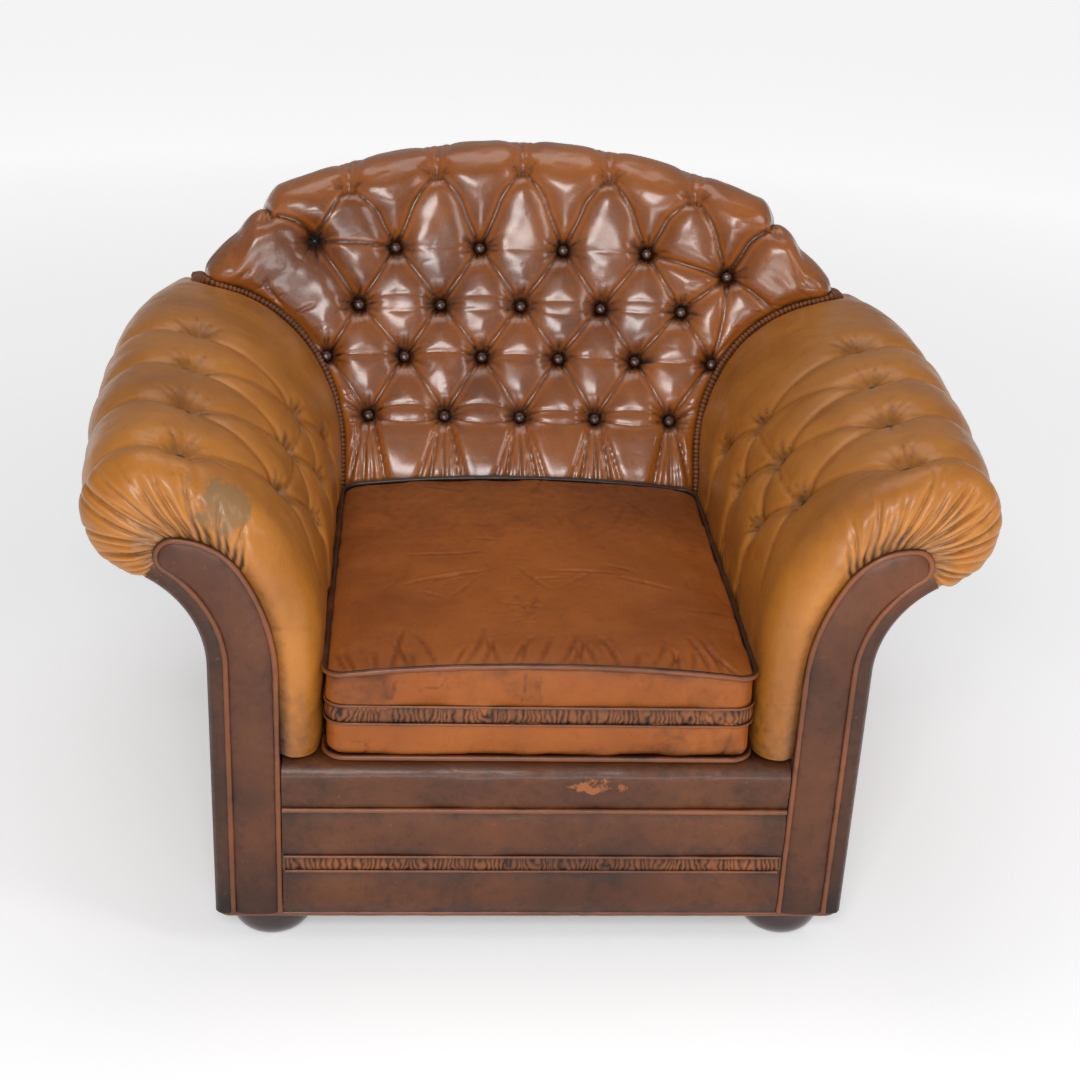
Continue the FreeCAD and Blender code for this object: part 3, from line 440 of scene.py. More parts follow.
class Sheet:
    """A grid of points on a smooth shape, found by u along it and v across it."""

    def __init__(self, points, u_values, v_values, outward):
        self.points, self.u, self.v = points, u_values, v_values
        normals = surface_normals(points)
        self.normals = normals * np.sign(np.sum(normals * outward))
        self.flat = points.reshape(-1, 3)

    def at(self, u, v):
        """The point at u, v."""
        a = np.interp(u, self.u, np.arange(len(self.u)))
        b = np.interp(v, self.v, np.arange(len(self.v)))
        i = np.minimum(a.astype(int), len(self.u) - 2)
        j = np.minimum(b.astype(int), len(self.v) - 2)
        f, g = (a - i)[:, None], (b - j)[:, None]
        p = self.points
        near = p[i, j] * (1 - f) + p[i + 1, j] * f
        far = p[i, j + 1] * (1 - f) + p[i + 1, j + 1] * f
        return near * (1 - g) + far * g

    def point(self, place):
        """The point at one place, a pair of u and v."""
        return self.at(np.array([place[0]]), np.array([place[1]]))[0]

    def raised(self, height):
        """The sheet's points moved outward by a height for each."""
        return self.flat + self.normals.reshape(-1, 3) * height[:, None]

    def line(self, start, end, bow=0.0, bend=0.0):
        """A line over the surface from one place to another; bow and bend curve it."""
        t = np.linspace(0, 1, LINE_POINTS)
        swell = np.sin(math.pi * t)
        u = start[0] + (end[0] - start[0]) * t + bow * swell
        v = start[1] + (end[1] - start[1]) * t + bend * swell
        return self.at(u, v)


def nearest(path, points):
    """Distance from each point to a path, and how far along the path it falls, 0 to 1."""
    best = np.full(len(points), 1e9)
    along = np.zeros(len(points))
    for k in range(len(path) - 1):
        step = path[k + 1] - path[k]
        share = np.clip((points - path[k]) @ step / max(step @ step, 1e-12), 0, 1)
        gap = np.linalg.norm(points - path[k] - share[:, None] * step, axis=1)
        closer = gap < best
        best[closer] = gap[closer]
        along[closer] = (k + share[closer]) / (len(path) - 1)
    return best, along


class Folds:
    """Adds up the valleys, creases and tufts of one sheet."""

    def __init__(self, sheet):
        self.sheet = sheet
        count = len(sheet.flat)
        self.valley = np.zeros(count)
        self.crease = np.zeros(count)
        self.lift = np.zeros(count)
        # Painted in colour: shade (partly real antiquing) in folds and wells, and a highlight
        # (partly rubbed hide) on the crease lips.
        self.fold = np.zeros(count)
        self.rub = np.zeros(count)

    def near(self, path, reach):
        """Which points lie close enough to a path to feel it."""
        low, high = path.min(0) - reach, path.max(0) + reach
        return np.all((self.sheet.flat > low) & (self.sheet.flat < high), axis=1)

    def pleat(self, path, valley=0.010, reach=0.036, crease=0.0035, width=0.0020, fade=1.0,
              middle=0.5, dye=0.8):
        """A broad valley with a sharp crease along its floor, painted shade (partly real antiquing)
        along the crease and a painted highlight (partly rubbed hide) on its lips; fade is its
        strength at the end.
        """
        mask = self.near(path, reach)
        gap, t = nearest(path, self.sheet.flat[mask])
        edge = np.where(t < 0.5, 1, fade)
        strength = middle + (edge - middle) * np.abs(2 * t - 1) ** 1.6
        bank = (1 - np.minimum(gap / reach, 1)) ** 2.2
        self.valley[mask] += (valley * strength * bank) ** 3
        line = crease * strength * np.exp(-((gap / width) ** 1.3))
        self.crease[mask] = np.maximum(self.crease[mask], line)
        shade = dye * strength * np.exp(-((gap / (2.0 * width)) ** 1.1))
        self.fold[mask] = np.maximum(self.fold[mask], shade)
        lip = dye * strength * np.exp(-(((gap - 3.0 * width) / (1.2 * width)) ** 2))
        self.rub[mask] = np.maximum(self.rub[mask], lip)

    def draw(self, start, end, bow=0.0, bend=0.0, **style):
        """A pleat over the sheet from one place to another."""
        self.pleat(self.sheet.line(start, end, bow, bend), **style)

    def tuft(self, place, depth, radius, seed, gathers=13, halo=0.9):
        """A button's well, with short folds that run into it like spokes."""
        centre = self.sheet.point(place)
        mask = self.near(centre[None, :], 0.06)
        offset = self.sheet.flat[mask] - centre
        gap = np.linalg.norm(offset, axis=1)
        normal = self.sheet.normals.reshape(-1, 3)[mask][np.argmin(gap)]
        side = np.cross(normal, (0.0, 0.0, 1.0))
        side /= np.linalg.norm(side)
        turn = np.arctan2(offset @ np.cross(normal, side), offset @ side)
        wobble = noise(np.cos(turn) * 0.8, np.sin(turn) * 0.8, 0.45, seed)
        spokes = np.abs(np.sin(0.5 * gathers * turn + 2.2 * wobble + seed))
        ring = np.exp(-(((gap - 1.25 * radius) / (0.85 * radius)) ** 2))
        uneven = 0.6 + 0.4 * noise(np.cos(turn), np.sin(turn), 0.5, seed + 7)
        self.lift[mask] -= depth * np.exp(-((gap / radius) ** 1.5))
        self.lift[mask] -= 0.0020 * ring * (1 - spokes) ** 1.5 * uneven
        # Painted shade: a dark disc in the button's well and dark lines between the gathers round
        # it; the painted highlight fades out near the button.
        shade = halo * np.exp(-((gap / (1.15 * radius)) ** 2.6))
        shade = shade + 0.80 * halo * ring * (1 - spokes) ** 2.2
        self.fold[mask] = np.maximum(self.fold[mask], shade)
        self.rub[mask] *= np.clip(gap / (1.3 * radius), 0, 1) ** 3

    def height(self, crown):
        """The leather's height over the sheet: full in the middle, low in the folds."""
        return crown - np.cbrt(self.valley) - self.crease + self.lift


def skin_detail(u, v, seed, strength=1.0):
    """Loose hide: soft undulation and a few fine creases."""
    swell = 0.0011 * noise(u, v, 0.055, seed) + 0.0006 * noise(u, v, 0.022, seed + 5)
    fine = wrinkles(u, v, 0.030, 0.0011, seed + 9) + 0.7 * wrinkles(u, v, 0.017, 0.0008, seed + 21)
    return strength * (swell - 0.0005 * fine), fine


# ---- inside back ------------------------------------------------------------------------

BACK_FRONT_ROWS = 196
BACK_ROLL_ROWS = 104
BACK_COLUMNS = 324
WING_START = 0.290
WING_END = BACK_HIGH.x + 0.012
WING_CLOSE = 0.436
CREST_Z = BACK_HIGH.z - 0.008
CREST_HALF = 0.36
CREST_CURVE, WING_CURVE = 0.47, 0.40
WING_DROP, WING_NOTCH = 0.42, 0.024
ROLL_Y, ROLL_RADIUS, ROLL_WRAP = 0.390, 0.075, 0.54
ROLL_START, ROLL_STOP = 172.0, -52.0
LEAN = (1.5207, -0.6345, 0.1138)
KNEE = 0.128
BACK_SEED = 11
CREASE_SEED = 17
BACK_CROWN = 0.0010
FAR_BEHIND = 9.0


def back_top(reach):
    """Height of the back's silhouette: a low arch that drops away over each wing."""
    beyond = np.maximum(reach ** 2 - CREST_HALF ** 2, 0)
    arch = CREST_CURVE * np.minimum(reach, CREST_HALF) ** 2 + WING_CURVE * beyond
    step = WING_DROP * np.maximum(0, reach - CREST_HALF)
    step = step + WING_NOTCH * smoothstep(0.385, 0.42, reach)
    return CREST_Z - arch - step


def back_roll(x):
    """Centre and radius of the top roll; it closes in at the end of each wing."""
    reach = np.abs(x)
    full = ROLL_RADIUS - 0.012 * (reach / 0.48) ** 2
    end = np.clip((reach - WING_CLOSE) / (WING_END - WING_CLOSE), 0, 0.995)
    radius = full * np.sqrt(1 - end ** 2)
    return ROLL_Y - ROLL_WRAP * reach ** 2, back_top(reach) - full, radius


def back_sheet():
    """The inside back's shape: seat edge, raked front and top roll, column by column."""
    x = np.linspace(-WING_END, WING_END, BACK_COLUMNS)[:, None]
    roll_y, roll_z, radius = back_roll(x)
    wing = np.maximum(0, np.abs(x) - WING_START)
    low_y = BACK_LOW.y + 0.62 * wing
    low_z = DECK + 1.35 * wing
    knee_z = np.maximum(low_z + 0.004, np.minimum(DECK + KNEE, roll_z - 0.06))
    v_front = np.linspace(0, 1, BACK_FRONT_ROWS)
    v_roll = np.linspace(1, 2, BACK_ROLL_ROWS + 1)[1:]
    z = low_z + (roll_z - low_z) * v_front
    up = (z - knee_z) / (roll_z - knee_z)
    up = 0.5 * (up + np.sqrt(up ** 2 + 0.004)) - 0.02 * (1 - v_front)
    lean = LEAN[0] * up + LEAN[1] * up ** 2 + LEAN[2] * up ** 3
    y = low_y + (roll_y - radius - low_y) * lean
    angle = np.radians(ROLL_START + (ROLL_STOP - ROLL_START) * (v_roll - 1))
    roll = np.stack([x + 0 * angle, roll_y + radius * np.cos(angle),
                     roll_z + radius * np.sin(angle)], -1)
    points = np.concatenate([np.stack([x + 0 * z, y, z], -1), roll], axis=1)
    points = soften(points, 30)
    return Sheet(points, x[:, 0], np.concatenate([v_front, v_roll]), (0, -1, 0.6))


BACK = back_sheet()


def rising_part(column):
    """The points of one column of the back from the seat up to its highest point."""
    return column[:np.argmax(column[:, 2])]


def back_column(x):
    """Number of the back's column at x."""
    share = (x + WING_END) / (2 * WING_END)
    return np.clip(np.round(share * (BACK_COLUMNS - 1)), 0, BACK_COLUMNS - 1).astype(int)


def back_row(x, z):
    """v of the place on the back's front at x and height z."""
    rising = rising_part(BACK.points[np.argmin(np.abs(BACK.u - x))])
    return float(np.interp(z, rising[:, 2], BACK.v[:len(rising)]))


def roll_row(degrees):
    """v of an angle on the top roll."""
    return 1 + (degrees - ROLL_START) / (ROLL_STOP - ROLL_START)


def back_row_of(height, gap, places):
    """The tufts of one row, numbered by their place from the middle."""
    return {place: (place * gap, back_row(place * gap, height)) for place in places}


HALVES = (-2.5, -1.5, -0.5, 0.5, 1.5, 2.5)
WHOLES = (-2, -1, 0, 1, 2)
ROW_D = back_row_of(0.476, 0.111, WHOLES)
ROW_C = back_row_of(0.550, 0.1135, HALVES)
ROW_B = back_row_of(0.617, 0.1185, WHOLES)
ROW_A = back_row_of(0.693, 0.1230, HALVES[1:-1])
ROW_E = {-2.5: (-0.300, back_row(-0.300, 0.702)), 2.5: (0.303, back_row(0.303, 0.668))}
ROW_A.update(ROW_E)
PINCHES = {place: (place * 0.128, roll_row(139 - 1.5 * abs(place))) for place in WHOLES}
NOTCHES = {side: (side * 0.374, roll_row(128)) for side in (-1, 1)}
SEAM_PULLS = ((0.385, 0.612), (0.345, 0.560), (0.300, 0.492))
WING_PULL = {-1: (0.004, 0.003, 0.016), 1: (0.013, 0.011, 0.007)}


def lace(folds, lower, upper, **style):
    """Pleats from each tuft of one row to its two neighbours in the next row."""
    for place, start in lower.items():
        for other in (place - 0.5, place + 0.5):
            if other in upper:
                folds.draw(start, upper[other], **style)


def back_vertical_folds(folds, random):
    """Bundles of pleats that run from the lowest tufts down behind the seat cushion."""
    for x, v in ROW_D.values():
        for k in range(-3, 4):
            spread = 0.009 * k + random.uniform(-0.003, 0.003)
            foot = (x * 1.02 + 1.9 * spread, 0.02)
            start = (x + 0.30 * spread, v - 0.012 * abs(k) ** 0.5)
            weight = 1.0 if k % 2 == 0 else 0.55
            folds.draw(start, foot, bow=0.35 * spread, valley=0.0062 * weight, reach=0.013,
                       crease=0.0030 * weight, width=0.0018, fade=0.35, middle=0.75,
                       dye=0.75 * weight)


def back_cross_folds(folds, random):
    """Level pleats between neighbours of a row, where the hide is pulled tight."""
    for row, lines, weight in ((ROW_D, 2, 0.75), (ROW_C, 1, 0.8), (ROW_B, 2, 0.35),
                               (ROW_A, 1, 0.25)):
        places = sorted(row)
        for first, second in zip(places, places[1:]):
            for k in range(lines):
                shift = (k - 0.5 * (lines - 1)) * 0.030
                start = (row[first][0], row[first][1] + 0.3 * shift)
                end = (row[second][0], row[second][1] + 0.3 * shift)
                bend = shift + random.uniform(-0.008, 0.008)
                folds.draw(start, end, bend=bend, valley=0.0052 * weight, reach=0.024,
                           crease=0.0026 * weight, width=0.0017, middle=0.45, dye=0.6 * weight)


def wing_folds(folds, side):
    """The long creases that shape one wing and meet the arm's seam."""
    b, c, d, e = ROW_B[side * 2], ROW_C[side * 2.5], ROW_D[side * 2], ROW_E[side * 2.5]
    notch = NOTCHES[side]
    over = (side * 0.408, roll_row(20))
    to_pinch, to_row_a, to_row_b = WING_PULL[side]
    seam_high, seam_mid, seam_low = [(side * x, back_row(x, z)) for x, z in SEAM_PULLS]
    folds.draw(e, notch, valley=0.017, reach=0.045, crease=0.005, middle=0.9, width=0.0026)
    folds.draw(notch, over, valley=0.020, reach=0.045, crease=0.004, fade=0.7, middle=0.9,
               width=0.0026)
    folds.draw(e, PINCHES[side * 2], valley=to_pinch, reach=0.04, middle=0.7)
    folds.draw(e, ROW_A[side * 1.5], valley=to_row_a, reach=0.03, middle=0.7)
    if side > 0:
        for shift in (-0.012, 0.014):
            end = (seam_high[0] - shift, seam_high[1] + 1.5 * shift)
            folds.draw(e, end, bend=0.02, valley=0.009, reach=0.026, fade=0.8, middle=0.6)
        folds.draw(c, e, bow=0.006, valley=0.009, reach=0.030, middle=0.55)
    else:
        high = (-0.375, back_row(-0.375, 0.650))
        folds.draw(c, high, bow=-0.02, valley=0.009, reach=0.034, fade=0.2, middle=0.65)
    for start, end, bend, valley, fade, middle in (
            (c, seam_mid, 0.012, 0.009, 0.7, 0.6), (c, seam_high, 0.03, 0.006, 0.5, 0.5),
            (d, seam_low, 0.01, 0.010, 0.7, 0.6), (d, seam_mid, -0.01, 0.007, 0.6, 0.5)):
        folds.draw(start, end, bend=bend, valley=valley, reach=0.03, fade=fade, middle=middle)
    folds.draw(b, e, valley=to_row_b, reach=0.038, middle=0.8)


def pinch_folds(folds, random):
    """Where the pleats gather just under the crest, and the short folds over the top."""
    for place, (x, v) in PINCHES.items():
        folds.tuft((x, v), depth=0.008, radius=0.012, gathers=9, seed=place + 60, halo=0.75)
        for k in (-2, -1, 0, 1, 2):
            foot = (x + 0.013 * k + random.uniform(-0.003, 0.003), roll_row(66 - 9 * abs(k)))
            weight = 1.0 if k == 0 else 0.5
            folds.draw((x, v), foot, valley=0.0095 * weight, reach=0.026, crease=0.003 * weight,
                       fade=0.15, middle=0.7, dye=0.7 * weight)


def seam_gathers(folds, side, random):
    """Short fine folds that run into the arm's seam across the wing."""
    seam = seam_path(side)
    for share in np.linspace(0.30, 0.97, 15):
        start = seam[int(share * (len(seam) - 1))]
        away = np.array([-side * random.uniform(0.025, 0.05), -0.01, random.uniform(0.005, 0.03)])
        end = BACK.flat[np.argmin(np.linalg.norm(BACK.flat - start - away, axis=1))]
        path = start + (end - start) * np.linspace(0, 1, 7)[:, None]
        folds.pleat(path, valley=0.0045, reach=0.013, crease=0.0024, width=0.0016, fade=0.1,
                    middle=0.6, dye=0.6)


def seam_path(side):
    """Where the arm's leather meets the back's, from the seat up and over the arm."""
    arm = ARM.points
    path = []
    for column in range(0, arm.shape[1], 3):
        run = arm[CAP_ROWS:, column]
        inside = np.array([back_depth(p[0], p[2]) for p in run])
        ahead = run[:, 1] - inside
        crossing = np.nonzero((ahead[:-1] < 0) & (ahead[1:] >= 0))[0]
        if len(crossing):
            k = crossing[0]
            share = ahead[k] / (ahead[k] - ahead[k + 1])
            path.append(run[k] * (1 - share) + run[k + 1] * share)
    path = np.array(path)
    path[:, 0] *= side
    return path


def back_depth(x, z):
    """Y of the back's front face at x and height z; far behind where there is no back."""
    rising = rising_part(BACK.points[back_column(x)])
    if x > WING_END or z > rising[-1, 2]:
        return FAR_BEHIND
    return float(np.interp(z, rising[:, 2], rising[:, 1]))


# ---- arms -------------------------------------------------------------------------------

CAP_ROWS = 26
ARM_RUN_ROWS = 250
SECTION_PARTS = (44, 92, 124)
CAP_START = FRONT + 0.054
ARM_MIDDLE_Y = 0.020
ARM_REAR_Y = 0.398
ROLL_FRONT = np.array([0.450, 0.577, 0.072])  # centre x, centre z and radius
ROLL_TO_MIDDLE = np.array([0.030, -0.002, 0.012])
ROLL_TO_REAR = np.array([-0.026, -0.028, -0.0156])
TAIL_START = 0.312
TAIL_DEPTH = 0.050
CAP_DEPTH = 0.080
ARM_CROWN = 0.0025
SWEEP_RADIUS = 0.230
SCROLL_INNER = FACING_LOW.x
SCROLL_OUTER = 0.368
SIDE_RADIUS = 0.250
HEAD_RADIUS = 0.085
TIP_RADIUS = 0.020
SIDE_SWEEP, TIP_SWEEP = 32.0, 55.0
HEAD_X = (SCROLL_INNER + SIDE_RADIUS
          - (SIDE_RADIUS - HEAD_RADIUS) * math.cos(math.radians(SIDE_SWEEP)))
SIDE_Z = (FACING_HIGH.z - HEAD_RADIUS
          - (SIDE_RADIUS - HEAD_RADIUS) * math.sin(math.radians(SIDE_SWEEP)))
TIP_CENTRE = (HEAD_X, FACING_HIGH.z - TIP_RADIUS)
TIP_END = on_circle(TIP_CENTRE, TIP_RADIUS, -TIP_SWEEP)
OUTER_RADIUS = (TIP_END[0] - SCROLL_OUTER) / (1 - math.cos(math.radians(TIP_SWEEP)))
OUTER_CENTRE = on_circle(TIP_END, OUTER_RADIUS, -TIP_SWEEP)
STRIP = 0.022
TIP_TUCK = 5.0
RUCHE_SIDES = 14
RUCHE_PITCH = 0.0062
BAND_PITCH = 0.0068


def arm_roll(y):
    """Centre x, centre z and radius of the arm's roll, fullest near the middle."""
    ahead = np.sin(0.5 * math.pi * np.clip((y - ARM_LOW.y) / (ARM_MIDDLE_Y - ARM_LOW.y), 0, 1))
    t = np.clip((y - ARM_MIDDLE_Y) / (ARM_REAR_Y - ARM_MIDDLE_Y), 0, 1)
    behind = (1 - np.cos(0.5 * math.pi * t)) ** 1.3
    return ROLL_FRONT + ROLL_TO_MIDDLE * ahead + ROLL_TO_REAR * behind


def tail_drop(y):
    """How far the arm's rear end is rounded in at y."""
    tail = np.clip((y - TAIL_START) / (ARM_REAR_Y - TAIL_START), 0, 1)
    return TAIL_DEPTH * (1 - np.sqrt(1 - tail ** 2))


def arm_section(y):
    """The arm's leather in section: up from the seat, round the roll and under it."""
    x, z, radius = arm_roll(y)
    centre_x = ARM_LOW.x + SWEEP_RADIUS
    drop = math.sqrt((SWEEP_RADIUS - radius) ** 2 - (x - centre_x) ** 2)
    centre = (centre_x, z - drop)
    touch = math.degrees(math.atan2(drop, x - centre_x))
    under = -math.degrees(math.acos(np.clip((0.440 - x) / radius, -1, 1)))
    straight_points, sweep_points, roll_points = SECTION_PARTS
    rise = np.linspace(DECK, centre[1], straight_points)
    straight = np.column_stack([np.full(straight_points, ARM_LOW.x), rise])
    sweep = on_circle(centre, SWEEP_RADIUS, np.linspace(180, touch, sweep_points + 1)[1:])
    roll = on_circle((x, z), radius, np.linspace(touch, under, roll_points + 1)[1:])
    return np.concatenate([straight, sweep, roll])


def scroll_edge():
    """The facing's inner and top edge, from the seat up, over the head and round the tip."""
    return np.concatenate([
        [(SCROLL_INNER, DECK)],
        on_circle((SCROLL_INNER + SIDE_RADIUS, SIDE_Z), SIDE_RADIUS,
                  np.linspace(180, 180 - SIDE_SWEEP, 40)),
        on_circle((HEAD_X, FACING_HIGH.z - HEAD_RADIUS), HEAD_RADIUS,
                  np.linspace(180 - SIDE_SWEEP, 90, 40))[1:],
        on_circle(TIP_CENTRE, TIP_RADIUS, np.linspace(90, -TIP_SWEEP, 30))[1:],
    ])


def spread(first, second, third, last):
    """Values for a section's points, even within its straight, its sweep and its roll."""
    straight, sweep, roll = SECTION_PARTS
    return np.concatenate([np.linspace(first, second, straight),
                           np.linspace(second, third, sweep + 1)[1:],
                           np.linspace(third, last, roll + 1)[1:]])


def cap_edge():
    """The point of the facing's edge that each point of the arm's section is drawn in to."""
    edge = scroll_edge()
    along = lengths_along(edge)
    wanted = spread(0, 0.150 / 0.395, 0.322 / 0.395, 1) * along[-1]
    kernel = np.ones(25) / 25
    wanted = np.convolve(np.pad(wanted, 12, mode="edge"), kernel, mode="valid")
    return np.stack([np.interp(wanted, along, edge[:, k]) for k in range(2)], 1)


def arm_sheet():
    """The right arm: a rounded front drawn in to the facing, then the roll to the rear."""
    edge = cap_edge()
    first = arm_section(CAP_START)
    rows = []
    for w in np.linspace(1, 0, CAP_ROWS + 1)[:-1]:
        inward = 1 - math.cos(0.5 * math.pi * w) ** 0.85
        ahead = math.sin(0.5 * math.pi * w) ** 0.85 * (CAP_START - FRONT + 0.004)
        ahead -= 0.006 * smoothstep(0.8, 1.0, w)
        flat = first + (edge - first) * inward
        rows.append(np.insert(flat, 1, CAP_START - ahead, axis=1))
    for y in np.linspace(CAP_START, ARM_REAR_Y, ARM_RUN_ROWS):
        rows.append(np.insert(arm_section(y), 1, y, axis=1))
    points = np.array(rows)
    u = np.concatenate([CAP_START - CAP_DEPTH * np.linspace(1, 0, CAP_ROWS + 1)[:-1],
                        np.linspace(CAP_START, ARM_REAR_Y, ARM_RUN_ROWS)])
    return Sheet(points, u, spread(0, 1, 2, 3), points - (0.42, 0.0, 0.45))


ARM = arm_sheet()


def arm_place(y, height=None, x=None):
    """u and v of a place on the arm at y, found by its height inside or by x on top."""
    section = arm_section(y)
    inner = slice(0, SECTION_PARTS[0] + SECTION_PARTS[1])
    if height is not None:
        return y, float(np.interp(height, section[inner, 1], ARM.v[inner]))
    outermost = np.argmax(section[:, 0])
    return y, float(np.interp(x, section[SECTION_PARTS[0]:outermost, 0],
                              ARM.v[SECTION_PARTS[0]:outermost]))


TUFT_PITCH = 0.128
TUFT_START = ARM_LOW.y + 0.070


def arm_rows():
    """Tufts on top, on the inside and low inside, numbered from the front."""
    top = {i: arm_place(TUFT_START + TUFT_PITCH * i, x=0.415 + 0.009 * i) for i in range(4)}
    inside = {i + 0.5: arm_place(TUFT_START + TUFT_PITCH * (i + 0.5), height=0.562)
              for i in range(3)}
    low = {i: arm_place(TUFT_START + TUFT_PITCH * i, height=0.496) for i in range(1, 4)}
    return top, inside, low


def carve_arm(folds, random, seam):
    """Pleats, tufts and gathers of one arm."""
    top, inside, low = arm_rows()
    lace(folds, top, inside, valley=0.0125, reach=0.042, crease=0.0032, middle=0.6, dye=0.45)
    lace(folds, inside, low, valley=0.0115, reach=0.036, crease=0.003, middle=0.65, dye=0.6)
    for i, (y, v) in top.items():
        outer = (y + 0.030 + random.uniform(-0.01, 0.01), 2.72)
        folds.draw((y, v), outer, bow=-0.016, valley=0.0120, reach=0.042, crease=0.0030, fade=0.25,
                   middle=0.7, dye=0.4)
        if i + 1 in top:
            folds.draw((y, v), top[i + 1], bend=random.uniform(-0.03, 0.03), valley=0.0045,
                       reach=0.026, crease=0.0014, middle=0.15, dye=0.4)
    for y, v in low.values():
        for k in (-2, -1, 0, 1, 2):
            foot = (y + 0.020 * k + random.uniform(-0.006, 0.006), 0.10)
            folds.draw((y, v), foot, valley=0.0065, reach=0.016, crease=0.0026, fade=0.15,
                       middle=0.6, dye=0.6)
    for first, second in zip(sorted(inside), sorted(inside)[1:]):
        folds.draw(inside[first], inside[second], bend=-0.02, valley=0.006, reach=0.026,
                   crease=0.0024, middle=0.4, dye=0.6)
    front_low = arm_place(TUFT_START + 0.01, height=0.47)
    folds.draw(inside[0.5], front_low, valley=0.007, reach=0.03, crease=0.002, fade=0.1,
               middle=0.4)
    for index, (row, depth, radius, halo) in enumerate(
            ((top, 0.0120, 0.025, 0.40), (inside, 0.0125, 0.018, 0.6), (low, 0.0105, 0.016, 0.6))):
        for i, (y, v) in row.items():
            folds.tuft((y, v), depth=depth, radius=radius, seed=int(10 * i) + 17 * index + 3,
                       halo=halo)
    carve_gathers(folds, random)
    folds.pleat(seam, valley=0.013, reach=0.026, crease=0.004, width=0.004, middle=1.0, dye=0.9)


def carve_gathers(folds, random):
    """Short sharp folds that fan out from the facing's scroll over the arm's rounded front."""
    for v in np.arange(1.62, 2.98, 0.062):
        v = v + random.uniform(-0.018, 0.018)
        long = random.uniform(0.35, 1.0) * (0.75 + 0.25 * math.sin(3.0 * v))
        start = (CAP_START - 0.076, v)
        end = (CAP_START - 0.070 + 0.085 * long, v + random.uniform(-0.06, 0.05))
        deep = random.uniform(0.6, 1.15)
        folds.draw(start, end, valley=0.0060 * deep, reach=0.013, crease=0.0026 * deep,
                   width=0.0016, fade=0.1, middle=0.65, dye=0.85 * deep)


def cap_gathers(seed):
    """Height of the folds where the roll's leather is gathered on to the facing's edge, and the
    painted shade in them.
    """
    u = (ARM.u[:, None] - (CAP_START - CAP_DEPTH)) / CAP_DEPTH
    v = ARM.v[None, :]
    phase = 27.0 * (v - 1.72) + 1.6 * noise(v, 0 * v, 0.11, seed) + 0.5 * noise(
        u * 0.3, v, 0.09, seed + 1)
    fold = np.abs(np.sin(phase)) ** 0.8
    deep = 0.5 + 0.5 * noise(v, 0 * v, 0.07, seed + 2)
    zone = smoothstep(1.55, 1.95, v) * (1 - 0.4 * smoothstep(2.8, 3.0, v))
    near = np.exp(-((u / (0.62 + 0.22 * deep)) ** 2))
    height = -0.0038 * zone * near * (1 - fold) * (0.55 + 0.45 * deep)
    shade = 0.6 * zone * near * (1 - fold) ** 2.2
    return height.ravel(), shade.ravel()


PATCH_CENTRE = (-0.362, -0.452, 0.612)
PATCH_SIZE = (0.046, 0.034, 0.045)


def worn_patch(points):
    """How worn the leather is: a scuffed place on top of the left arm's front."""
    gap = np.sum(((points - PATCH_CENTRE) / PATCH_SIZE) ** 2, axis=1)
    return 1.15 - gap + 0.7 * noise(points[:, 0], points[:, 2], 0.016, 5)


def build_arm(side, seed):
    """One arm with its own scatter of small creases."""
    random = np.random.default_rng(seed)
    seam = seam_path(1)
    folds = Folds(ARM)
    carve_arm(folds, random, seam)
    gathers, shade = cap_gathers(seed)
    u, v = [grid.ravel() for grid in np.meshgrid(ARM.u, ARM.v, indexing="ij")]
    detail, fine = skin_detail(u, 0.21 * v, seed + 30, 1.0)
    height = folds.height(ARM_CROWN) + gathers + detail - tail_drop(u)
    held = smoothstep(CAP_START - CAP_DEPTH, CAP_START - 0.060, u)
    height = height * held * smoothstep(0.0, 0.10, v) + gathers * (1 - held)
    points = ARM.raised(height)
    limit = rear_plane(points[:, 2]) - 0.002
    behind = points[:, 1] > limit
    points[behind, 1] = limit[behind]
    # Painted shade: in the folds, gathers and fine wrinkles, along the seam with the back, towards
    # the seat and over the arm's drawn-in front.
    fold = np.clip(np.maximum(folds.fold, 0.75 * shade) + 0.10 * fine, 0, 1)
    seam_gap = nearest(seam[::2], ARM.flat)[0]
    fold = np.maximum(fold, 0.8 * (1 - smoothstep(0.0, 0.035, seam_gap)))
    low = 1 - smoothstep(DECK, DECK + 0.16, points[:, 2])
    fold = np.clip(fold + 0.42 * low + 0.45 * (1 - held), 0, 1)
    faces = grid_faces(len(ARM.u), len(ARM.v))
    faces = faces[~(buried(points) | behind)[faces].all(axis=1)]
    points = points * (side, 1, 1)
    if side > 0:
        faces = faces[:, ::-1]
    label = "left" if side < 0 else "right"
    add_piece("arm_leather_" + label, points, faces, "leather_tan", fill=0.85,
              stands_for=["arm_pad_" + label], fold=fold, worn=worn_patch(points), rub=folds.rub)
    build_seam_ruche(side, seam, label)


def buried(points):
    """Which of the arm's points lie well inside the back."""
    i = back_column(points[:, 0])
    roll_y, roll_z, _ = back_roll(points[:, 0])
    hidden = np.zeros(len(points), bool)
    for k in np.nonzero((points[:, 1] > BACK_LOW.y) & (points[:, 0] < WING_END - 0.02))[0]:
        rising = rising_part(BACK.points[i[k]])
        front = np.interp(points[k, 2], rising[:, 2], rising[:, 1])
        hidden[k] = front + 0.016 < points[k, 1] < roll_y[k] and points[k, 2] < roll_z[k] + 0.02
    return hidden


